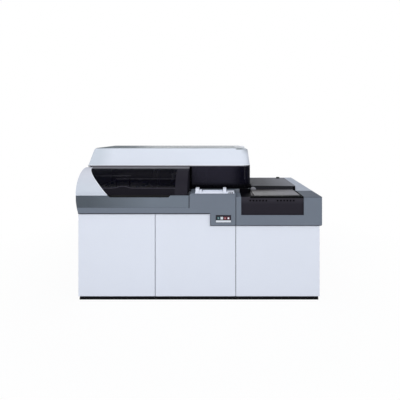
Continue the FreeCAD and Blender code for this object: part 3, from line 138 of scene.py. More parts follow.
# Welded tube frame on levelling feet, floor tray and the dark skirt under the doors: steel with a powder
# coat, pads of pressed rubber, and partition walls of bare zinc sheet. Each foot stem carries a lock nut that
# is turned up against the frame.
def screen(red, green, blue):
    """Colour as seen on a screen, turned into the light values that shaders use."""
    return tuple(pow(part / 255.0, 2.2) for part in (red, green, blue)) + (1.0,)


def coat(name, colour, rough, uneven=0.05, grain=420.0, height=0.00012, metal=0.0, gloss=0.0,
         stretch=(1, 1, 1), shine=0.35):
    """Finish with a fine surface grain, a little colour unevenness and patchy gloss, in object space."""
    paint = bpy.data.materials.new(name)
    paint.use_nodes = True
    tree = paint.node_tree
    shader = tree.nodes["Principled BSDF"]
    place = tree.nodes.new("ShaderNodeTexCoord")
    turn = tree.nodes.new("ShaderNodeMapping")
    turn.inputs["Scale"].default_value = stretch
    tree.links.new(place.outputs["Object"], turn.inputs["Vector"])
    fine = tree.nodes.new("ShaderNodeTexNoise")
    fine.inputs["Scale"].default_value = grain
    fine.inputs["Detail"].default_value = 3.0
    broad = tree.nodes.new("ShaderNodeTexNoise")
    broad.inputs["Scale"].default_value = 4.0
    broad.inputs["Detail"].default_value = 5.0
    for noise in (fine, broad):
        tree.links.new(turn.outputs["Vector"], noise.inputs["Vector"])
    blend = tree.nodes.new("ShaderNodeMix")
    blend.data_type = "RGBA"
    blend.inputs["A"].default_value = tuple(part * (1.0 - uneven) for part in colour[:3]) + (1.0,)
    blend.inputs["B"].default_value = tuple(min(1.0, part * (1.0 + uneven)) for part in colour[:3]) + (1.0,)
    tree.links.new(broad.outputs["Fac"], blend.inputs["Factor"])
    tree.links.new(blend.outputs["Result"], shader.inputs["Base Color"])
    patch = tree.nodes.new("ShaderNodeMapRange")
    patch.inputs["From Min"].default_value = 0.3
    patch.inputs["From Max"].default_value = 0.7
    patch.inputs["To Min"].default_value = max(0.02, rough - 0.05)
    patch.inputs["To Max"].default_value = min(1.0, rough + 0.05)
    tree.links.new(broad.outputs["Fac"], patch.inputs["Value"])
    tree.links.new(patch.outputs["Result"], shader.inputs["Roughness"])
    bump = tree.nodes.new("ShaderNodeBump")
    bump.inputs["Distance"].default_value = height
    bump.inputs["Strength"].default_value = 0.6
    tree.links.new(fine.outputs["Fac"], bump.inputs["Height"])
    tree.links.new(bump.outputs["Normal"], shader.inputs["Normal"])
    shader.inputs["Metallic"].default_value = metal
    shader.inputs["Specular IOR Level"].default_value = shine
    shader.inputs["Coat Weight"].default_value = gloss
    shader.inputs["Coat Roughness"].default_value = 0.12
    return paint


def dress(names, paint):
    """Give the nodes of a group their finish."""
    for name in names:
        nodes[name].data.materials.clear()
        nodes[name].data.materials.append(paint)


def at(x, depth, height):
    """Point in metres from millimetres across, back from the front face and up from the floor."""
    return Vector((x / 1000.0, cad_box[0][1] + depth / 1000.0, height / 1000.0))


def turned(name, place, towards, profile, steps=24):
    """Round part grown ring by ring from a disc; the profile gives radius and rise in millimetres."""
    bpy.ops.object.select_all(action="DESELECT")
    radius, rise = profile[0]
    bpy.ops.mesh.primitive_circle_add(vertices=steps, radius=radius / 1000.0, fill_type="NGON",
                                      location=(0.0, 0.0, rise / 1000.0))
    piece = bpy.context.object
    piece.name = name
    bpy.ops.object.mode_set(mode="EDIT")
    bpy.ops.mesh.select_mode(type="FACE")
    bpy.ops.mesh.select_all(action="SELECT")
    for wider, higher in profile[1:]:
        climb = (0.0, 0.0, (higher - rise) / 1000.0)
        bpy.ops.mesh.extrude_region_move(TRANSFORM_OT_translate={"value": climb})
        share = wider / radius
        bpy.ops.transform.resize(value=(share, share, 1.0), center_override=(0.0, 0.0, 0.0))
        radius, rise = wider, higher
    bpy.ops.mesh.select_all(action="SELECT")
    bpy.ops.mesh.normals_make_consistent(inside=False)
    bpy.ops.object.mode_set(mode="OBJECT")
    piece.rotation_euler = Vector(towards).to_track_quat("Z", "Y").to_euler()
    piece.location = place
    bpy.ops.object.transform_apply(location=True, rotation=True, scale=True)
    return piece


def twin(piece, move):
    """Copy with a mesh of its own, moved by a matrix."""
    other = piece.copy()
    other.data = piece.data.copy()
    other.data.transform(move)
    view.collection.objects.link(other)
    return other


def spread(first, places):
    """The piece made at the first place, and a copy at each of the others."""
    return [first] + [twin(first, Matrix.Translation(place - places[0])) for place in places[1:]]


def alone(piece):
    """Only this piece selected and active."""
    bpy.ops.object.select_all(action="DESELECT")
    piece.select_set(True)
    bpy.context.view_layer.objects.active = piece


def merged(name, parts):
    """One piece from its parts."""
    alone(parts[0])
    for part in parts:
        part.select_set(True)
    bpy.ops.object.join()
    parts[0].name = name
    return parts[0]


def fit(piece, body, paint):
    """Smooth shading by angle, the finish, and the body that carries the piece."""
    alone(piece)
    bpy.ops.object.shade_smooth_by_angle(angle=math.radians(35.0))
    piece.data.materials.clear()
    piece.data.materials.append(paint)
    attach(piece, body)


dress(["levelling_feet"], coat("foot_rubber", screen(38, 38, 40), 0.75, grain=900.0, shine=0.2))
dress(["main_frame"], coat("frame_powder", screen(104, 108, 114), 0.5))
dress(["base_tray"], coat("tray_powder", screen(70, 72, 76), 0.5))
dress(["plinth_skirt"], coat("skirt_powder", screen(20, 21, 24), 0.65, shine=0.15))
zinc = coat("zinc_sheet", screen(168, 171, 175), 0.38, metal=0.85, grain=160.0, stretch=(1, 1, 0.1))
dress(["partition_walls"], zinc)
nut_foot, foot_x, foot_front, foot_back = 29.8, 840, 100, 960
nut_places = [at(x, depth, nut_foot) for x, depth in (
    (0, foot_front), (-foot_x, foot_front), (foot_x, foot_front),
    (-foot_x, foot_back), (0, foot_back), (foot_x, foot_back))]
nut_profile = [(10.5, 0), (16.5, 0), (17.5, 1), (17.5, 9), (16.5, 10), (10.5, 10)]
first_nut = turned("lock_nut", nut_places[0], (0, 0, 1), nut_profile, steps=6)
fit(merged("foot_lock_nuts", spread(first_nut, nut_places)), "cabinet", zinc)


# Cabinet doors: folded steel leaves with a cool white powder coat that shows a fine orange-peel surface.
# They hang on ground steel pins, and a black rubber seal is pressed on the inner rim of each leaf; the middle
# one follows the notched corner, whose upright edge lies in a narrow shade.
def block(name, x, depth, height):
    """Block between millimetres across, back and up: the start of many small parts."""
    low, high = at(x[0], depth[0], height[0]), at(x[1], depth[1], height[1])
    bpy.ops.object.select_all(action="DESELECT")
    bpy.ops.mesh.primitive_cube_add(size=1.0, location=(low + high) / 2)
    piece = bpy.context.object
    piece.name = name
    piece.scale = high - low
    bpy.ops.object.transform_apply(location=True, rotation=True, scale=True)
    return piece


def pick(piece, test):
    """Edit mode with the faces selected whose middle and normal pass a test."""
    bpy.context.view_layer.objects.active = piece
    bpy.ops.object.mode_set(mode="EDIT")
    bpy.ops.mesh.select_mode(type="FACE")
    bpy.ops.mesh.select_all(action="DESELECT")
    shape = bmesh.from_edit_mesh(piece.data)
    for face in shape.faces:
        face.select_set(test(face.calc_center_median(), face.normal))
    bmesh.update_edit_mesh(piece.data)


def hollowed(piece, border):
    """Frame of even width: inset front and back, and bridge them through."""
    pick(piece, lambda middle, normal: abs(normal.y) > 0.95)
    bpy.ops.mesh.inset(thickness=border / 1000.0)
    bpy.ops.mesh.bridge_edge_loops()
    bpy.ops.mesh.select_all(action="SELECT")
    bpy.ops.mesh.normals_make_consistent(inside=False)
    bpy.ops.object.mode_set(mode="OBJECT")


def soften(piece, width, steps=2):
    """Round the sharp edges of a piece; the width is in millimetres."""
    bevel = piece.modifiers.new("soft_edges", "BEVEL")
    bevel.width = width / 1000.0
    bevel.segments = steps
    bevel.limit_method = "ANGLE"
    bpy.context.view_layer.objects.active = piece
    bpy.ops.object.modifier_apply(modifier=bevel.name)


def tint(paint, colour, *spans):
    """Blend another colour over part of a finish. A span names an axis and the millimetres at which the
    blend starts and is full, across, back from the front face or up from the floor."""
    tree = paint.node_tree
    shader = tree.nodes["Principled BSDF"]
    place = tree.nodes.new("ShaderNodeTexCoord")
    split = tree.nodes.new("ShaderNodeSeparateXYZ")
    tree.links.new(place.outputs["Object"], split.inputs["Vector"])
    share = None
    for axis, start, full in spans:
        zero = cad_box[0][1] if axis == "Y" else 0.0
        ramp = tree.nodes.new("ShaderNodeMapRange")
        ramp.inputs["From Min"].default_value = zero + start / 1000.0
        ramp.inputs["From Max"].default_value = zero + full / 1000.0
        tree.links.new(split.outputs[axis], ramp.inputs["Value"])
        if share is None:
            share = ramp.outputs["Result"]
        else:
            both = tree.nodes.new("ShaderNodeMath")
            both.operation = "MULTIPLY"
            tree.links.new(share, both.inputs[0])
            tree.links.new(ramp.outputs["Result"], both.inputs[1])
            share = both.outputs["Value"]
    over = tree.nodes.new("ShaderNodeMix")
    over.data_type = "RGBA"
    tree.links.new(shader.inputs["Base Color"].links[0].from_socket, over.inputs["A"])
    over.inputs["B"].default_value = colour
    tree.links.new(share, over.inputs["Factor"])
    tree.links.new(over.outputs["Result"], shader.inputs["Base Color"])
    return paint


white_panel = coat("white_powder", screen(222, 226, 235), 0.42, uneven=0.012)
# Painted shade: a pale grey line down the middle door, along its edge beside the notch.
tint(white_panel, screen(168, 173, 184), ("X", 75, 75.5), ("X", 80, 79.5), ("Z", 566, 567), ("Y", 10, 8))
dress(["left_door", "middle_door", "right_door"], white_panel)
steel = coat("ground_steel", screen(190, 192, 196), 0.25, metal=1.0, grain=600.0, stretch=(1, 1, 0.05))
dress(["hinge_pins"], steel)
rubber = coat("seal_rubber", screen(18, 18, 20), 0.7, grain=700.0, shine=0.15)
door_side, door_foot, door_head, short_head = 925, 25, 655, 565
seam_one, seam_two, half_gap, notch_x = -336, 282, 2, 85
seal_in, seal_wide, seal_depth = 12, 10, (31.7, 36)
for door_name, body_name, left, right, head in (
        ("left_door", "door_left", -door_side, seam_one - half_gap, door_head),
        ("middle_door", "door_middle", seam_one + half_gap, seam_two - half_gap, short_head),
        ("right_door", "door_right", seam_two + half_gap, door_side, short_head)):
    seal = block(door_name + "_seal", (left + seal_in, right - seal_in), seal_depth,
                 (door_foot + seal_in, head - seal_in))
    if door_name == "middle_door":
        split_place = at(notch_x - seal_in, 0, 0)
        bpy.ops.object.mode_set(mode="EDIT")
        bpy.ops.mesh.select_all(action="SELECT")
        bpy.ops.mesh.bisect(plane_co=split_place, plane_no=(1, 0, 0))
        bpy.ops.object.mode_set(mode="OBJECT")
        pick(seal, lambda middle, normal: normal.z > 0.95 and middle.x < split_place.x)
        bpy.ops.mesh.extrude_region_move(
            TRANSFORM_OT_translate={"value": (0.0, 0.0, (door_head - short_head) / 1000.0)})
        bpy.ops.object.mode_set(mode="OBJECT")
    hollowed(seal, seal_wide)
    soften(seal, 1.2)
    fit(seal, body_name, rubber)


# Seam strips: black rubber lips on the frame posts behind the gaps between the doors and under the grey
# front, pushed over the tube edges, each with a groove along the middle. A black rubber sweep along the
# skirt's foot closes the gap to the floor; it is a dark strip put where the shade under the skirt lies, a
# painted shadow.
def sunk(piece, towards, border, drop):
    """Faces that look one way are inset and pushed in; border and drop are in millimetres."""
    way = Vector(towards)
    pick(piece, lambda middle, normal: normal.dot(way) > 0.95)
    bpy.ops.mesh.inset(thickness=border / 1000.0)
    bpy.ops.mesh.extrude_region_move(TRANSFORM_OT_translate={"value": -way * drop / 1000.0})
    bpy.ops.object.mode_set(mode="OBJECT")


# Painted shadow: a black strip where the shade under the skirt lies.
shadow_sweep = block("skirt_shadow_sweep", (-915, 915), (12, 16.2), (0.5, 12))
soften(shadow_sweep, 0.8)
fit(shadow_sweep, "cabinet", rubber)
strip_half, strip_depth, strip_foot, post_x, notch_strip = 12, (44, 59.8), 30, 898, notch_x - 4
low_strip, high_strip = 553, 645
strips = []
for x_span, height in (((seam_one - strip_half, seam_one + strip_half), (strip_foot, high_strip)),
                       ((seam_two - strip_half, seam_two + strip_half), (strip_foot, low_strip)),
                       ((-post_x, notch_strip), (high_strip, 665)),
                       ((notch_strip, post_x), (low_strip, 568.5)),
                       ((notch_strip, notch_x + 18), (568.5, 665))):
    strip = block("seam_strip", x_span, strip_depth, height)
    sunk(strip, (0, -1, 0), 4, 4)
    soften(strip, 1)
    strips.append(strip)
fit(merged("seam_strips", strips), "cabinet", rubber)


# Side, rear and connection panels: the same powder-coated sheet, and bare zinc sheet for the connections.
# They are held by pan-head screws with a sunk socket.
def screws(name, places, along):
    """Row of pan-head screws with sunk sockets, modelled once and copied."""
    first = turned(name, places[0], along,
                   [(5, -0.2), (5, 0.4), (4.6, 1.6), (3.2, 2.6), (1.7, 2.6), (1.4, 1.2)], steps=16)
    fit(merged(name, spread(first, places)), "cabinet", steel)


dress(["side_panel_left", "side_panel_right", "rear_panel_left", "rear_panel_right"], white_panel)
dress(["connection_panel"], zinc)
side_face, rear_face, inlet_face = 922, 1030, 1034
side_depths, rear_columns = (75, 537, 1000), (-870, -310, 250, 314, 592, 870)
screws("left_panel_screws", [at(-side_face, depth, height) for depth in side_depths for height in (60, 610)],
       (-1, 0, 0))
screws("right_panel_screws", [at(side_face, depth, height) for depth in side_depths for height in (60, 540)],
       (1, 0, 0))
screws("rear_panel_screws", [at(x, rear_face, height) for x in rear_columns for height in (55, 540)],
       (0, 1, 0))
screws("connection_screws", [at(x, inlet_face, height) for x in (-688, -492) for height in (132, 248)],
       (0, 1, 0))

# Grey front: moulded band and side belt in a satin slate grey. Painted shade darkens the band along its lower
# edge, round the corner of the middle panel and down the joint at its left side.
band_grey, painted_shade_dark = screen(107, 115, 126), screen(34, 37, 46)
low_edge_shade = (("Z", 573.5, 572.5), ("Y", 12, 10))
fascia_grey = coat("fascia_grey", band_grey, 0.5, uneven=0.03)
# Painted shade along the lower edges and down the joint.
tint(fascia_grey, painted_shade_dark, ("Z", 665.5, 664.5), ("X", 85.5, 85), ("Y", 12, 10))
tint(fascia_grey, painted_shade_dark, *low_edge_shade)
tint(fascia_grey, painted_shade_dark, ("X", -71.5, -72), ("X", -78.5, -78), ("Z", 705.5, 706))
dress(["front_fascia", "side_band_left"], fascia_grey)

# Inlaid trim: a slim moulded strip clipped into the band. Its grey is darker towards the left, a painted
# shade, and the finger recess for lifting the hood is painted black inside as its shade.
trim_grey = coat("trim_grey", screen(105, 114, 124), 0.45, uneven=0.03)
tint(trim_grey, screen(76, 83, 90), ("X", -360, -840))
tint(trim_grey, screen(10, 10, 12), ("Y", 3.5, 4.5))
dress(["fascia_trim"], trim_grey)

# Feeder portal: the same satin grey moulding round the feeder's opening, screwed on from behind. The flat
# top beside the lids is a little darker, with a line of painted shade along its front edge, and painted
# shade darkens its lower edge.
portal_grey = coat("portal_grey", band_grey, 0.5, uneven=0.03)
tint(portal_grey, screen(84, 91, 102), ("Z", 787, 788), ("X", 790, 800), ("Y", 2, 6))
# Painted shade: a line along the front edge of the flat top.
tint(portal_grey, screen(66, 71, 80), ("Z", 785, 786), ("X", 790, 791), ("Y", 4, 3))
tint(portal_grey, painted_shade_dark, *low_edge_shade)
dress(["feeder_front"], portal_grey)

# Switch panel: dark plate with four square keys in close openings and a pale strip below them, inside a
# slim moulded frame. The keys are moulded in their colours, and three carry a plain raised mark.
switch_plate = coat("switch_plate", screen(46, 42, 48), 0.4, shine=0.2)
tint(switch_plate, screen(214, 218, 224), ("Z", 610.4, 610))
dress(["switch_panel"], switch_plate)
for key, paint_name, key_colour in (("teal_button", "key_teal", screen(34, 84, 88)),
                                    ("light_button", "key_light", screen(206, 212, 216)),
                                    ("red_button", "key_red", screen(126, 44, 52)),
                                    ("round_button", "key_maroon", screen(112, 60, 76))):
    dress([key], coat(paint_name, key_colour, 0.3, gloss=0.2))
switch_rim = block("switch_rim", (128.2, 245.8), (0.2, 4), (593.2, 651.8))
hollowed(switch_rim, 2)
soften(switch_rim, 0.4)
fit(switch_rim, "cabinet", coat("rim_dark", screen(52, 54, 60), 0.4, shine=0.2))
mark_paint = coat("mark_white", screen(226, 230, 232), 0.35)
key_face, key_middle = 0.4, 627
for key, body_name, key_x in (("teal_button", "button_teal", 149), ("red_button", "button_red", 200)):
    mark = block(key + "_mark", (key_x - 1.2, key_x + 1.2), (key_face - 0.3, key_face + 0.4),
                 (key_middle - 5, key_middle + 5))
    soften(mark, 0.2)
    fit(mark, body_name, mark_paint)
fit(turned("round_button_mark", at(225.5, key_face + 0.3, key_middle), (0, -1, 0),
           [(6.8, 0), (6.8, 0.4), (6.2, 0.6)], steps=32),
    "button_round", mark_paint)

# Urgent-sample lane on the ledge: white moulded channel between two end posts. Its short shelf at the
# right has dark slanting wear strips let into the front face.
dress(["stat_lane"], coat("lane_white", screen(224, 228, 238), 0.35, uneven=0.012))
mark_pitch, mark_slant = 13, 0.004
mark_places = [at(228 + mark_pitch * step, 8, 820) for step in range(3)]
first_mark = block("lane_mark", (224, 232), (7.4, 8.3), (814.8, 824.6))
pick(first_mark, lambda middle, normal: normal.z > 0.9)
bpy.ops.transform.translate(value=(mark_slant, 0.0, 0.0))
bpy.ops.object.mode_set(mode="OBJECT")
soften(first_mark, 0.3)
fit(merged("lane_marks", spread(first_mark, mark_places)), "cabinet",
    coat("mark_dark", screen(46, 50, 56), 0.6, shine=0.2))

# Working deck: powder-coated plate with screws along its edges, turned steel guide bushings for the lifting
# columns and a grey rack lane. The rack trays in the feeder are moulded in the same grey.
deck_top = 784
dress(["deck_plate"], coat("deck_powder", screen(118, 124, 133), 0.45))
dress(["column_guides"], steel)
dress(["rack_lane", "rack_trays"], coat("lane_grey", screen(92, 96, 102), 0.5))
deck_places = ((-885, 225), (-885, 770), (-440, 225), (-440, 770), (20, 770), (385, 770), (385, 300))
screws("deck_screws", [at(x, depth, deck_top) for x, depth in deck_places], (0, 0, 1))


# Carousels: aluminium tubs and plates with a grooved knob in the middle. The wedge bottles are white blown
# plastic, and each is closed by a blue screw cap with a sunk top.
def ringed(first, count, centre):
    """The piece and its copies, evenly spaced round an upright axis."""
    middle = Matrix.Translation(centre)
    turns = [Matrix.Rotation(math.tau * index / count, 4, "Z") for index in range(1, count)]
    return [first] + [twin(first, middle @ turn @ middle.inverted()) for turn in turns]


tub_metal = coat("tub_aluminium", screen(176, 180, 186), 0.38, metal=0.85, grain=200.0)
dress(["reagent_tub_1", "reagent_tub_2", "reaction_bath", "reagent_wheel_1", "reagent_wheel_2"], tub_metal)
dress(["reagent_bottles_1", "reagent_bottles_2"], coat("bottle_white", screen(214, 216, 214), 0.38))
cap_paint = coat("cap_blue", screen(54, 92, 128), 0.4)
knob_paint = coat("knob_black", screen(30, 31, 34), 0.5, shine=0.2)
cap_profile = [(13.5, -0.2), (15, 1), (15, 10), (14, 12), (11, 12.4), (10.4, 11.2)]
knob_profile = [(13, 0), (20, 1), (20, 4), (19, 5), (20, 6), (20, 10), (17, 13.5), (8, 14.5)]
for body_name, wheel_x, wheel_depth, count, reach, cap_foot in (
        ("carousel_one", -668, 420, 16, 172, 812), ("carousel_two", 220, 510, 12, 108, 804)):
    first_cap = turned("bottle_cap", at(wheel_x + reach, wheel_depth, cap_foot), (0, 0, 1), cap_profile,
                       steps=20)
    fit(merged(body_name + "_caps", ringed(first_cap, count, at(wheel_x, wheel_depth, 0))),
        body_name, cap_paint)
    fit(turned(body_name + "_knob", at(wheel_x, wheel_depth, deck_top), (0, 0, 1), knob_profile, steps=28),
        body_name, knob_paint)

# Reaction wheel: black ring with a crown of pale glossy plastic cuvettes pressed in from above. Each cuvette
# has an open mouth with a thin rim.
dress(["cuvette_wheel"], coat("wheel_black", screen(34, 34, 38), 0.4, shine=0.2))
ring_x, ring_depth, ring_reach, ring_top, cell_count = -205, 450, 201, 793, 88
cell_x = ring_x + ring_reach
first_cell = block("cuvette", (cell_x - 4.5, cell_x + 4.5), (ring_depth - 3, ring_depth + 3),
                   (ring_top - 1, ring_top + 5))
sunk(first_cell, (0, 0, 1), 0.9, 4)
fit(merged("cuvette_crown", ringed(first_cell, cell_count, at(ring_x, ring_depth, 0))), "reaction_wheel",
    coat("cuvette_clear", screen(188, 200, 206), 0.15, gloss=0.3))

# Pipetting arms, mixer and wash head: white covers on ground steel columns, each arm with a black cap on its
# hub and the mixer with one on its motor. Small turned steel fittings stand where the liquid lines enter.
arm_white = coat("arm_white", screen(216, 220, 228), 0.35)
dress(["reagent_arm_1", "reagent_arm_2", "sample_arm", "mixer", "wash_head"], arm_white)
dress(["reagent_lift_1", "reagent_lift_2", "sample_lift"], steel)
arm_top = 978
for body_name, hub, tip in (("arm_one", (-440, 665), (-440, 465)), ("arm_two", (30, 668), (30, 500)),
                            ("arm_sample", (45, 335), (-60, 335))):
    fit(turned(body_name + "_hub_cap", at(*hub, arm_top), (0, 0, 1),
               [(19, -0.4), (19, 1.6), (18, 2.4), (8, 2.4), (7.4, 1.2)], steps=28),
        body_name, knob_paint)
    fit(turned(body_name + "_fitting", at(*tip, arm_top), (0, 0, 1),
               [(5.5, -0.4), (5.5, 4), (4, 5), (4, 9), (2, 10)], steps=16),
        body_name, steel)
fit(turned("mixer_motor_cap", at(-278, 636, 918), (0, 0, 1),
           [(11.2, 0), (12, 1), (12, 5), (10, 7)], steps=20),
    "mixer_lift", knob_paint)
port_places = [at(-162 + 14 * index, 640 - 3 * index, 872) for index in range(4)]
first_port = turned("wash_port", port_places[0], (0, 0, 1), [(3.5, -0.4), (3.5, 3), (2.2, 4), (2.2, 9)],
                    steps=14)
fit(merged("wash_ports", spread(first_port, port_places)), "wash_lift", steel)

# Sample racks: grey moulded racks with glass tubes, put into the feeder by hand and carried on by the rack
# lane. Every tube has a red push-in cap that sits over its mouth.
dress(["sample_racks", "lane_rack"], coat("rack_grey", screen(150, 154, 160), 0.4))
tube_cap = coat("tube_cap_red", screen(138, 48, 44), 0.45)
tube_cap_profile = [(7.2, -4), (8.4, -3), (8.4, 6), (7.4, 8), (4, 8)]
rack_pitch, tube_first, tube_pitch, tubes = 24.5, 74, 44, 5
bay_cap_height, lane_cap_height = 750, 840
lane_cap_first, lane_cap_pitch, lane_depth = seam_two - 56, 26, 246
rack_columns = [start + rack_pitch * index
                for start, count in ((442, 5), (602.6, 6)) for index in range(count)]
cap_places = [at(column, tube_first + tube_pitch * place, bay_cap_height)
              for column in rack_columns for place in range(tubes)]
first_cap = turned("tube_cap", cap_places[0], (0, 0, 1), tube_cap_profile, steps=12)
fit(merged("feeder_tube_caps", spread(first_cap, cap_places)), "cabinet", tube_cap)
cap_places = [at(lane_cap_first + lane_cap_pitch * index, lane_depth, lane_cap_height)
              for index in range(tubes)]
first_cap = turned("lane_cap", cap_places[0], (0, 0, 1), tube_cap_profile, steps=12)
fit(merged("lane_tube_caps", spread(first_cap, cap_places)), "travelling_rack", tube_cap)


# Left cheek and rear housing: white mouldings screwed to the cabinet. The cheek is lighter towards its top,
# as painted light, and the housing is dark where it looks forward into the hood, as painted shade. A bead
# finishes the slanting edge of the cheek, brighter than the cheek as a painted highlight.
def bead(name, radius, fineness, places):
    """Round bead of a radius in millimetres along a line of places, made a mesh."""
    line = bpy.data.curves.new(name, "CURVE")
    line.dimensions = "3D"
    line.bevel_depth = radius / 1000.0
    line.bevel_resolution = fineness
    line.use_fill_caps = True
    path = line.splines.new("POLY")
    path.points.add(len(places) - 1)
    for point, place in zip(path.points, places):
        point.co = (*place, 1.0)
    holder = bpy.data.objects.new(name, line)
    view.collection.objects.link(holder)
    alone(holder)
    bpy.ops.object.convert(target="MESH")
    return bpy.context.object


hood_white = coat("hood_white", screen(198, 204, 213), 0.4, uneven=0.012)
# Painted light: the cheek is lighter towards its top.
tint(hood_white, screen(210, 212, 220), ("Z", 860, 970))
dress(["left_cheek"], hood_white)
housing_white = coat("housing_white", screen(204, 209, 217), 0.4, uneven=0.012)
# Painted shade: the housing is dark where it faces forward into the hood.
tint(housing_white, screen(50, 50, 60), ("Y", 792, 791), ("Z", 1130, 1125))
dress(["rear_housing"], housing_white)
round_radius, trim_high = 195, 800
edge_foot, edge_middle, edge_crown, edge_rise = -697, -787, -887, 97
bead_out, bead_in, bead_least = 0.6, 0.5, 2.3
bead_places = []
for step in range(31):
    turn = math.radians(1.5 + 88.0 * step / 30)
    rise = round_radius * math.sin(turn)
    if rise < edge_rise:
        edge_x = edge_foot + (edge_middle - edge_foot) * rise / edge_rise
    else:
        edge_x = edge_middle + (edge_crown - edge_middle) * (rise - edge_rise) / (round_radius - edge_rise)
    depth = max(bead_least, round_radius * (1.0 - math.cos(turn)) + bead_out * math.cos(turn))
    bead_places.append(at(edge_x - bead_in, depth, trim_high + rise - bead_out * math.sin(turn)))
# Painted highlight: the bead is whiter than the cheek it finishes.
fit(bead("cheek_bead", 2.2, 3, bead_places), "cabinet",
    coat("bead_highlight_white", screen(240, 243, 248), 0.3, uneven=0.01))


# Canopy: white moulded cover, hinged at the back, with painted shade on its flat roof, its left end and its
# right corner. A rolled lip runs round its lower edge in a brighter white, a painted highlight, over a strip
# of painted shade.
hood_corner = 89.5


def skirted(name, x, depth, height, thick, opened):
    """Upright strip round the hood: a block with its front right edge rounded, opened and given a wall."""
    strip = block(name, x, depth, height)
    bpy.ops.object.mode_set(mode="EDIT")
    bpy.ops.mesh.select_mode(type="EDGE")
    bpy.ops.mesh.select_all(action="DESELECT")
    shape = bmesh.from_edit_mesh(strip.data)
    for edge in shape.edges:
        start, end = (vertex.co for vertex in edge.verts)
        edge.select_set(abs(start.z - end.z) > 0.005 and start.x > 0.0 and start.y < 0.0)
    bmesh.update_edit_mesh(strip.data)
    bpy.ops.mesh.bevel(offset=hood_corner / 1000.0, segments=16)
    bpy.ops.object.mode_set(mode="OBJECT")
    pick(strip, opened)
    bpy.ops.mesh.delete(type="FACE")
    bpy.ops.mesh.select_all(action="SELECT")
    bpy.ops.mesh.normals_make_consistent(inside=False)
    bpy.ops.object.mode_set(mode="OBJECT")
    wall = strip.modifiers.new("wall", "SOLIDIFY")
    wall.thickness = thick / 1000.0
    wall.offset = -1.0
    bpy.ops.object.modifier_apply(modifier=wall.name)
    return strip


canopy_white = coat("canopy_white", screen(219, 224, 233), 0.4, uneven=0.012)
# Painted shade: the left end, the flat roof, the right corner and a strip under the lower edge.
tint(canopy_white, screen(203, 210, 218), ("X", -740, -850))
tint(canopy_white, screen(90, 99, 102), ("Z", 1144, 1148.5))
tint(canopy_white, screen(140, 146, 150), ("X", 290, 305), ("Z", 1133, 1137))
tint(canopy_white, screen(82, 79, 84), ("Z", 1007.5, 1007))
tint(canopy_white, screen(182, 187, 193), ("X", 335, 385), ("Z", 1095, 1130))
dress(["hood_shell"], canopy_white)
lip = skirted("canopy_lip", (-933.5, 417.5), (206.5, 765), (1007, 1013), 5,
              lambda middle, normal: abs(normal.z) > 0.9 or normal.y > 0.9)
soften(lip, 1.2, 3)
fit(lip, "hood", coat("lip_highlight_white", screen(236, 239, 243), 0.35, uneven=0.012))


# Right window: smoked pane bent round the front right corner and clipped up into the canopy. It is darker
# towards the corner and the foot, and black along its left end, as painted shade. A black rubber seal
# closes its lower edge.
def smoke(name, colour, passing, rough, shine):
    """Dark clear plastic with faint waviness; each surface lets a share of the light straight through."""
    pane = coat(name, colour, rough, uneven=0.05, grain=60.0, height=0.00002, shine=shine)
    pane.node_tree.nodes["Principled BSDF"].inputs["Alpha"].default_value = 1.0 - passing
    return pane


wrap_pane = smoke("smoked_wrap", screen(45, 44, 53), 0.15, 0.25, 0.06)
# Painted shade: darker towards the corner and the foot, and black along the left end.
tint(wrap_pane, screen(20, 19, 30), ("X", 250, 330))
tint(wrap_pane, screen(12, 12, 16), ("Z", 870, 840))
tint(wrap_pane, screen(8, 8, 9), ("X", -70.5, -71.5))
dress(["right_window"], wrap_pane)
hood_seal = skirted("hood_seal", (-88, 416), (207, 760), (814.6, 820.6), 5,
                    lambda middle, normal: abs(normal.z) > 0.9 or normal.y > 0.9 or normal.x < -0.9)
soften(hood_seal, 1)
fit(hood_seal, "hood", rubber)

# Left window: smoked quarter-round pane in a dark moulded frame; the frame is painted grey along its crown,
# where it meets the canopy, as painted light. A thin bead follows the sill and its hump, lighter than the
# frame as a painted highlight.
frame_dark = coat("frame_dark", screen(24, 22, 29), 0.55, shine=0.08)
tint(frame_dark, screen(40, 38, 45), ("X", -186, -184))
# Painted light: a grey band along the frame's crown, where it meets the canopy.
tint(frame_dark, screen(118, 117, 121), ("Y", 149.5, 150.5), ("Z", 985, 990))
dress(["left_window_frame"], frame_dark)
dress(["left_window"], smoke("smoked_pane", screen(18, 17, 25), 0.42, 0.15, 0.05))
hump_left, hump_right, hump_high, sill_high = -660, -506, 14, 855
sill_left, sill_right = -742, -182
sill_places = []
for sill_x in range(sill_left, sill_right + 1, 10):
    swell = (sill_x - hump_left) / (hump_right - hump_left)
    rise = hump_high * 0.5 * (1.0 - math.cos(math.tau * swell)) if 0.0 < swell < 1.0 else 0.0
    height = sill_high + rise
    depth = round_radius - math.sqrt(round_radius ** 2 - (height - trim_high) ** 2)
    sill_places.append(at(sill_x, depth, height))
# Painted highlight: the sill bead is lighter than the frame.
fit(bead("sill_bead", 1.8, 2, sill_places), "hood",
    coat("sill_highlight", screen(70, 67, 77), 0.5, shine=0.15))

# Guard rails: two slim rails of white-coated steel on black rubber-sleeved posts, which stand on the deck
# behind the left window and keep hands off the carousel.
rail_depth = 206
rails, posts = [], []
for height, rail_from, rail_to in ((922, -875, -577), (897, -702, -205)):
    length = rail_to - rail_from
    rails.append(turned("guard_rail", at(rail_from, rail_depth, height), (1, 0, 0),
                        [(3, 0), (3.8, 0.6), (3.8, length - 0.6), (3, length)], steps=14))
    for x in (rail_from + 8, rail_to - 8):
        posts.append(turned("guard_post", at(x, rail_depth, deck_top), (0, 0, 1),
                            [(11, 0), (11, 2.6), (10, 3), (4.5, 3.6), (4.5, height - deck_top)], steps=14))
fit(merged("guard_rails", rails), "cabinet", coat("rail_white", screen(240, 240, 246), 0.4))
fit(merged("guard_posts", posts), "cabinet", rubber)

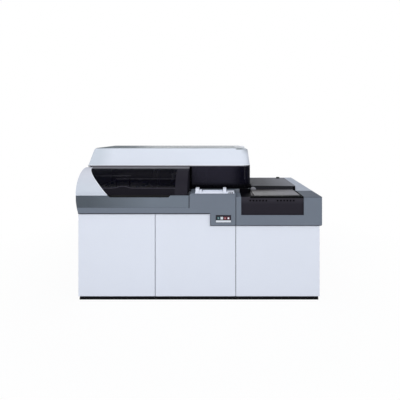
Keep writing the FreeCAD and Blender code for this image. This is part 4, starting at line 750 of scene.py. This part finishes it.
# Rack feeder: pale housing, and a black front panel screwed on it that carries twelve rack slots, each with
# a slim raised rim; the insides of the slots and the panel's top edge under the lid are painted near black as
# shade. A grey wedge-shaped filler borders the bay at the left of the rack lid; its front margin is painted
# black as shade, like the lid's.
feeder_pale = coat("feeder_pale", screen(166, 173, 184), 0.45)
tint(feeder_pale, screen(30, 29, 33), ("X", 421.2, 420.8), ("Z", 770, 775), ("Y", 293.5, 293))
dress(["feeder_body"], feeder_pale)
shade_black = screen(10, 10, 12)
bay_black = coat("bay_black", screen(45, 43, 49), 0.6, shine=0.04)
tint(bay_black, screen(55, 53, 59), ("Z", 732, 760), ("Y", 16.5, 16))
# Painted shade: near black inside the slots and along the panel's top edge under the lid.
tint(bay_black, screen(4, 4, 6), ("Y", 8.5, 9), ("Z", 751, 751.5), ("Z", 769, 768.5))
tint(bay_black, shade_black, ("Z", 779, 780), ("X", 392, 392.5))
tint(bay_black, screen(14, 13, 18), ("X", 392.5, 391.5), ("Y", 17, 17.5))
dress(["bay_front_panel"], bay_black)
rim_half_x, rim_half_z, rim_middle = 7.2, 8.2, 760
slot_columns = [start + rack_pitch * index for start in (393, 602.6) for index in range(6)]
rim_places = [at(column, 8, rim_middle) for column in slot_columns]
first_rim = block("slot_rim", (slot_columns[0] - rim_half_x, slot_columns[0] + rim_half_x), (7.2, 8.3),
                  (rim_middle - rim_half_z, rim_middle + rim_half_z))
hollowed(first_rim, 1.2)
fit(merged("slot_rims", spread(first_rim, rim_places)), "cabinet",
    coat("rim_grey", screen(60, 58, 64), 0.5, shine=0.04))
border_right, border_back = 421.5, 284
border = block("bay_border", (398.6, border_right), (17, border_back), (786.2, 790))
pick(border, lambda middle, normal: normal.y > 0.9)
bpy.ops.transform.resize(value=(0.2, 1.0, 1.0), center_override=at(border_right, border_back, 788))
bpy.ops.object.mode_set(mode="OBJECT")
soften(border, 0.4)
lid_shade_margin = ("Y", 48, 44)
border_grey = tint(coat("border_grey", screen(88, 86, 87), 0.6, shine=0.1), shade_black, lid_shade_margin)
fit(border, "cabinet", border_grey)

# Rack lid: smoked plastic sheet that closes the bay flush, hinged at its back edge. It is lighter towards
# the right as painted light, and black along its front margin as painted shade.
lid_paint = smoke("smoked_lid", screen(98, 95, 95), 0.2, 0.35, 0.2)
# Painted light towards the right; painted shade along the front margin.
tint(lid_paint, screen(147, 145, 149), ("X", 520, 740))
tint(lid_paint, shade_black, lid_shade_margin)
dress(["rack_lid"], lid_paint)

# Rear lid: grey moulding over the rack transport, hinged at the back, lighter towards the right as painted
# light. Its skirt is painted near black as the shade under its front edge; it has an inlaid line and a
# half-round boss at the left, and a round black catch stands on top.
cover_grey = coat("rear_lid_grey", screen(88, 89, 92), 0.65, shine=0.08)
# Painted light towards the right, and painted shade on the skirt under the front edge.
tint(cover_grey, screen(119, 120, 125), ("X", 560, 760))
tint(cover_grey, screen(12, 12, 15), ("Z", 823.5, 821.5))
dress(["rear_lid"], cover_grey)
skirt_line = block("cover_skirt_line", (456, 783), (292.2, 293.8), (801, 812))
sunk(skirt_line, (0, -1, 0), 2, 0.6)
soften(skirt_line, 0.3)
fit(skirt_line, "transport_lid", coat("skirt_inlay", screen(48, 49, 54), 0.4, shine=0.2))
lobe_x, lobe_cut = 445, 790.5
lobe = turned("cover_lobe", at(lobe_x, 293.5, lobe_cut + 2), (0, -1, 0),
              [(24, 0), (24, 1), (23, 1.6), (18, 1.8)], steps=36)
bpy.ops.object.mode_set(mode="EDIT")
bpy.ops.mesh.select_all(action="SELECT")
bpy.ops.mesh.bisect(plane_co=at(lobe_x, 0, lobe_cut), plane_no=(0, 0, 1), use_fill=True, clear_inner=True)
bpy.ops.object.mode_set(mode="OBJECT")
fit(lobe, "transport_lid", coat("lobe_grey", screen(140, 141, 147), 0.45))
fit(turned("cover_catch", at(733, 722, 829), (0, 0, 1), [(17, -0.4), (17, 8), (15, 11), (6, 11), (5, 9.6)],
           steps=28),
    "transport_lid", knob_paint)

# Inside the cabinets: zinc power unit with a wire fan guard, white waste container with a ribbed blue cap,
# and the white syringe block with steel plungers and brass valve heads screwed on its barrels.
dress(["power_supply"], zinc)
dress(["waste_tank"], coat("tank_white", screen(206, 208, 204), 0.45))
dress(["syringe_block"], arm_white)
dress(["syringe_plungers"], steel)
fan_x, fan_depth, fan_height = -535, 200, 164
wire_radius, bar_half, bar_thin = 1.3, 54.5, 1.5
guard = []
for radius in (12, 22, 32, 42, 52):
    bpy.ops.object.select_all(action="DESELECT")
    bpy.ops.mesh.primitive_torus_add(major_radius=radius / 1000.0, minor_radius=wire_radius / 1000.0,
                                     major_segments=36, minor_segments=8,
                                     location=at(fan_x, fan_depth - 2, fan_height),
                                     rotation=(math.pi / 2, 0.0, 0.0))
    bpy.ops.object.transform_apply(location=True, rotation=True, scale=True)
    guard.append(bpy.context.object)
for half_x, half_z in ((bar_half, bar_thin), (bar_thin, bar_half)):
    bar = block("fan_bar", (fan_x - half_x, fan_x + half_x), (fan_depth - 3, fan_depth + 0.2),
                (fan_height - half_z, fan_height + half_z))
    soften(bar, 0.5)
    guard.append(bar)
fit(merged("fan_guard", guard), "cabinet", steel)
tank_cap_profile = [(34.5, 0), (38, 1), (38, 4), (37, 5), (38, 6), (38, 9), (37, 10), (38, 11), (38, 16),
                    (35, 20), (20, 20)]
fit(turned("tank_cap", at(520, 330, 418), (0, 0, 1), tank_cap_profile, steps=32), "cabinet", cap_paint)
head_places = [at(-44 + 44 * index, 247, 560) for index in range(3)]
first_head = turned("valve_head", head_places[0], (0, 0, 1),
                    [(12.5, -0.4), (12.5, 10), (9, 12), (9, 20), (4, 22), (4, 30)], steps=20)
fit(merged("valve_heads", spread(first_head, head_places)), "cabinet",
    coat("valve_brass", screen(176, 148, 92), 0.3, metal=0.9))
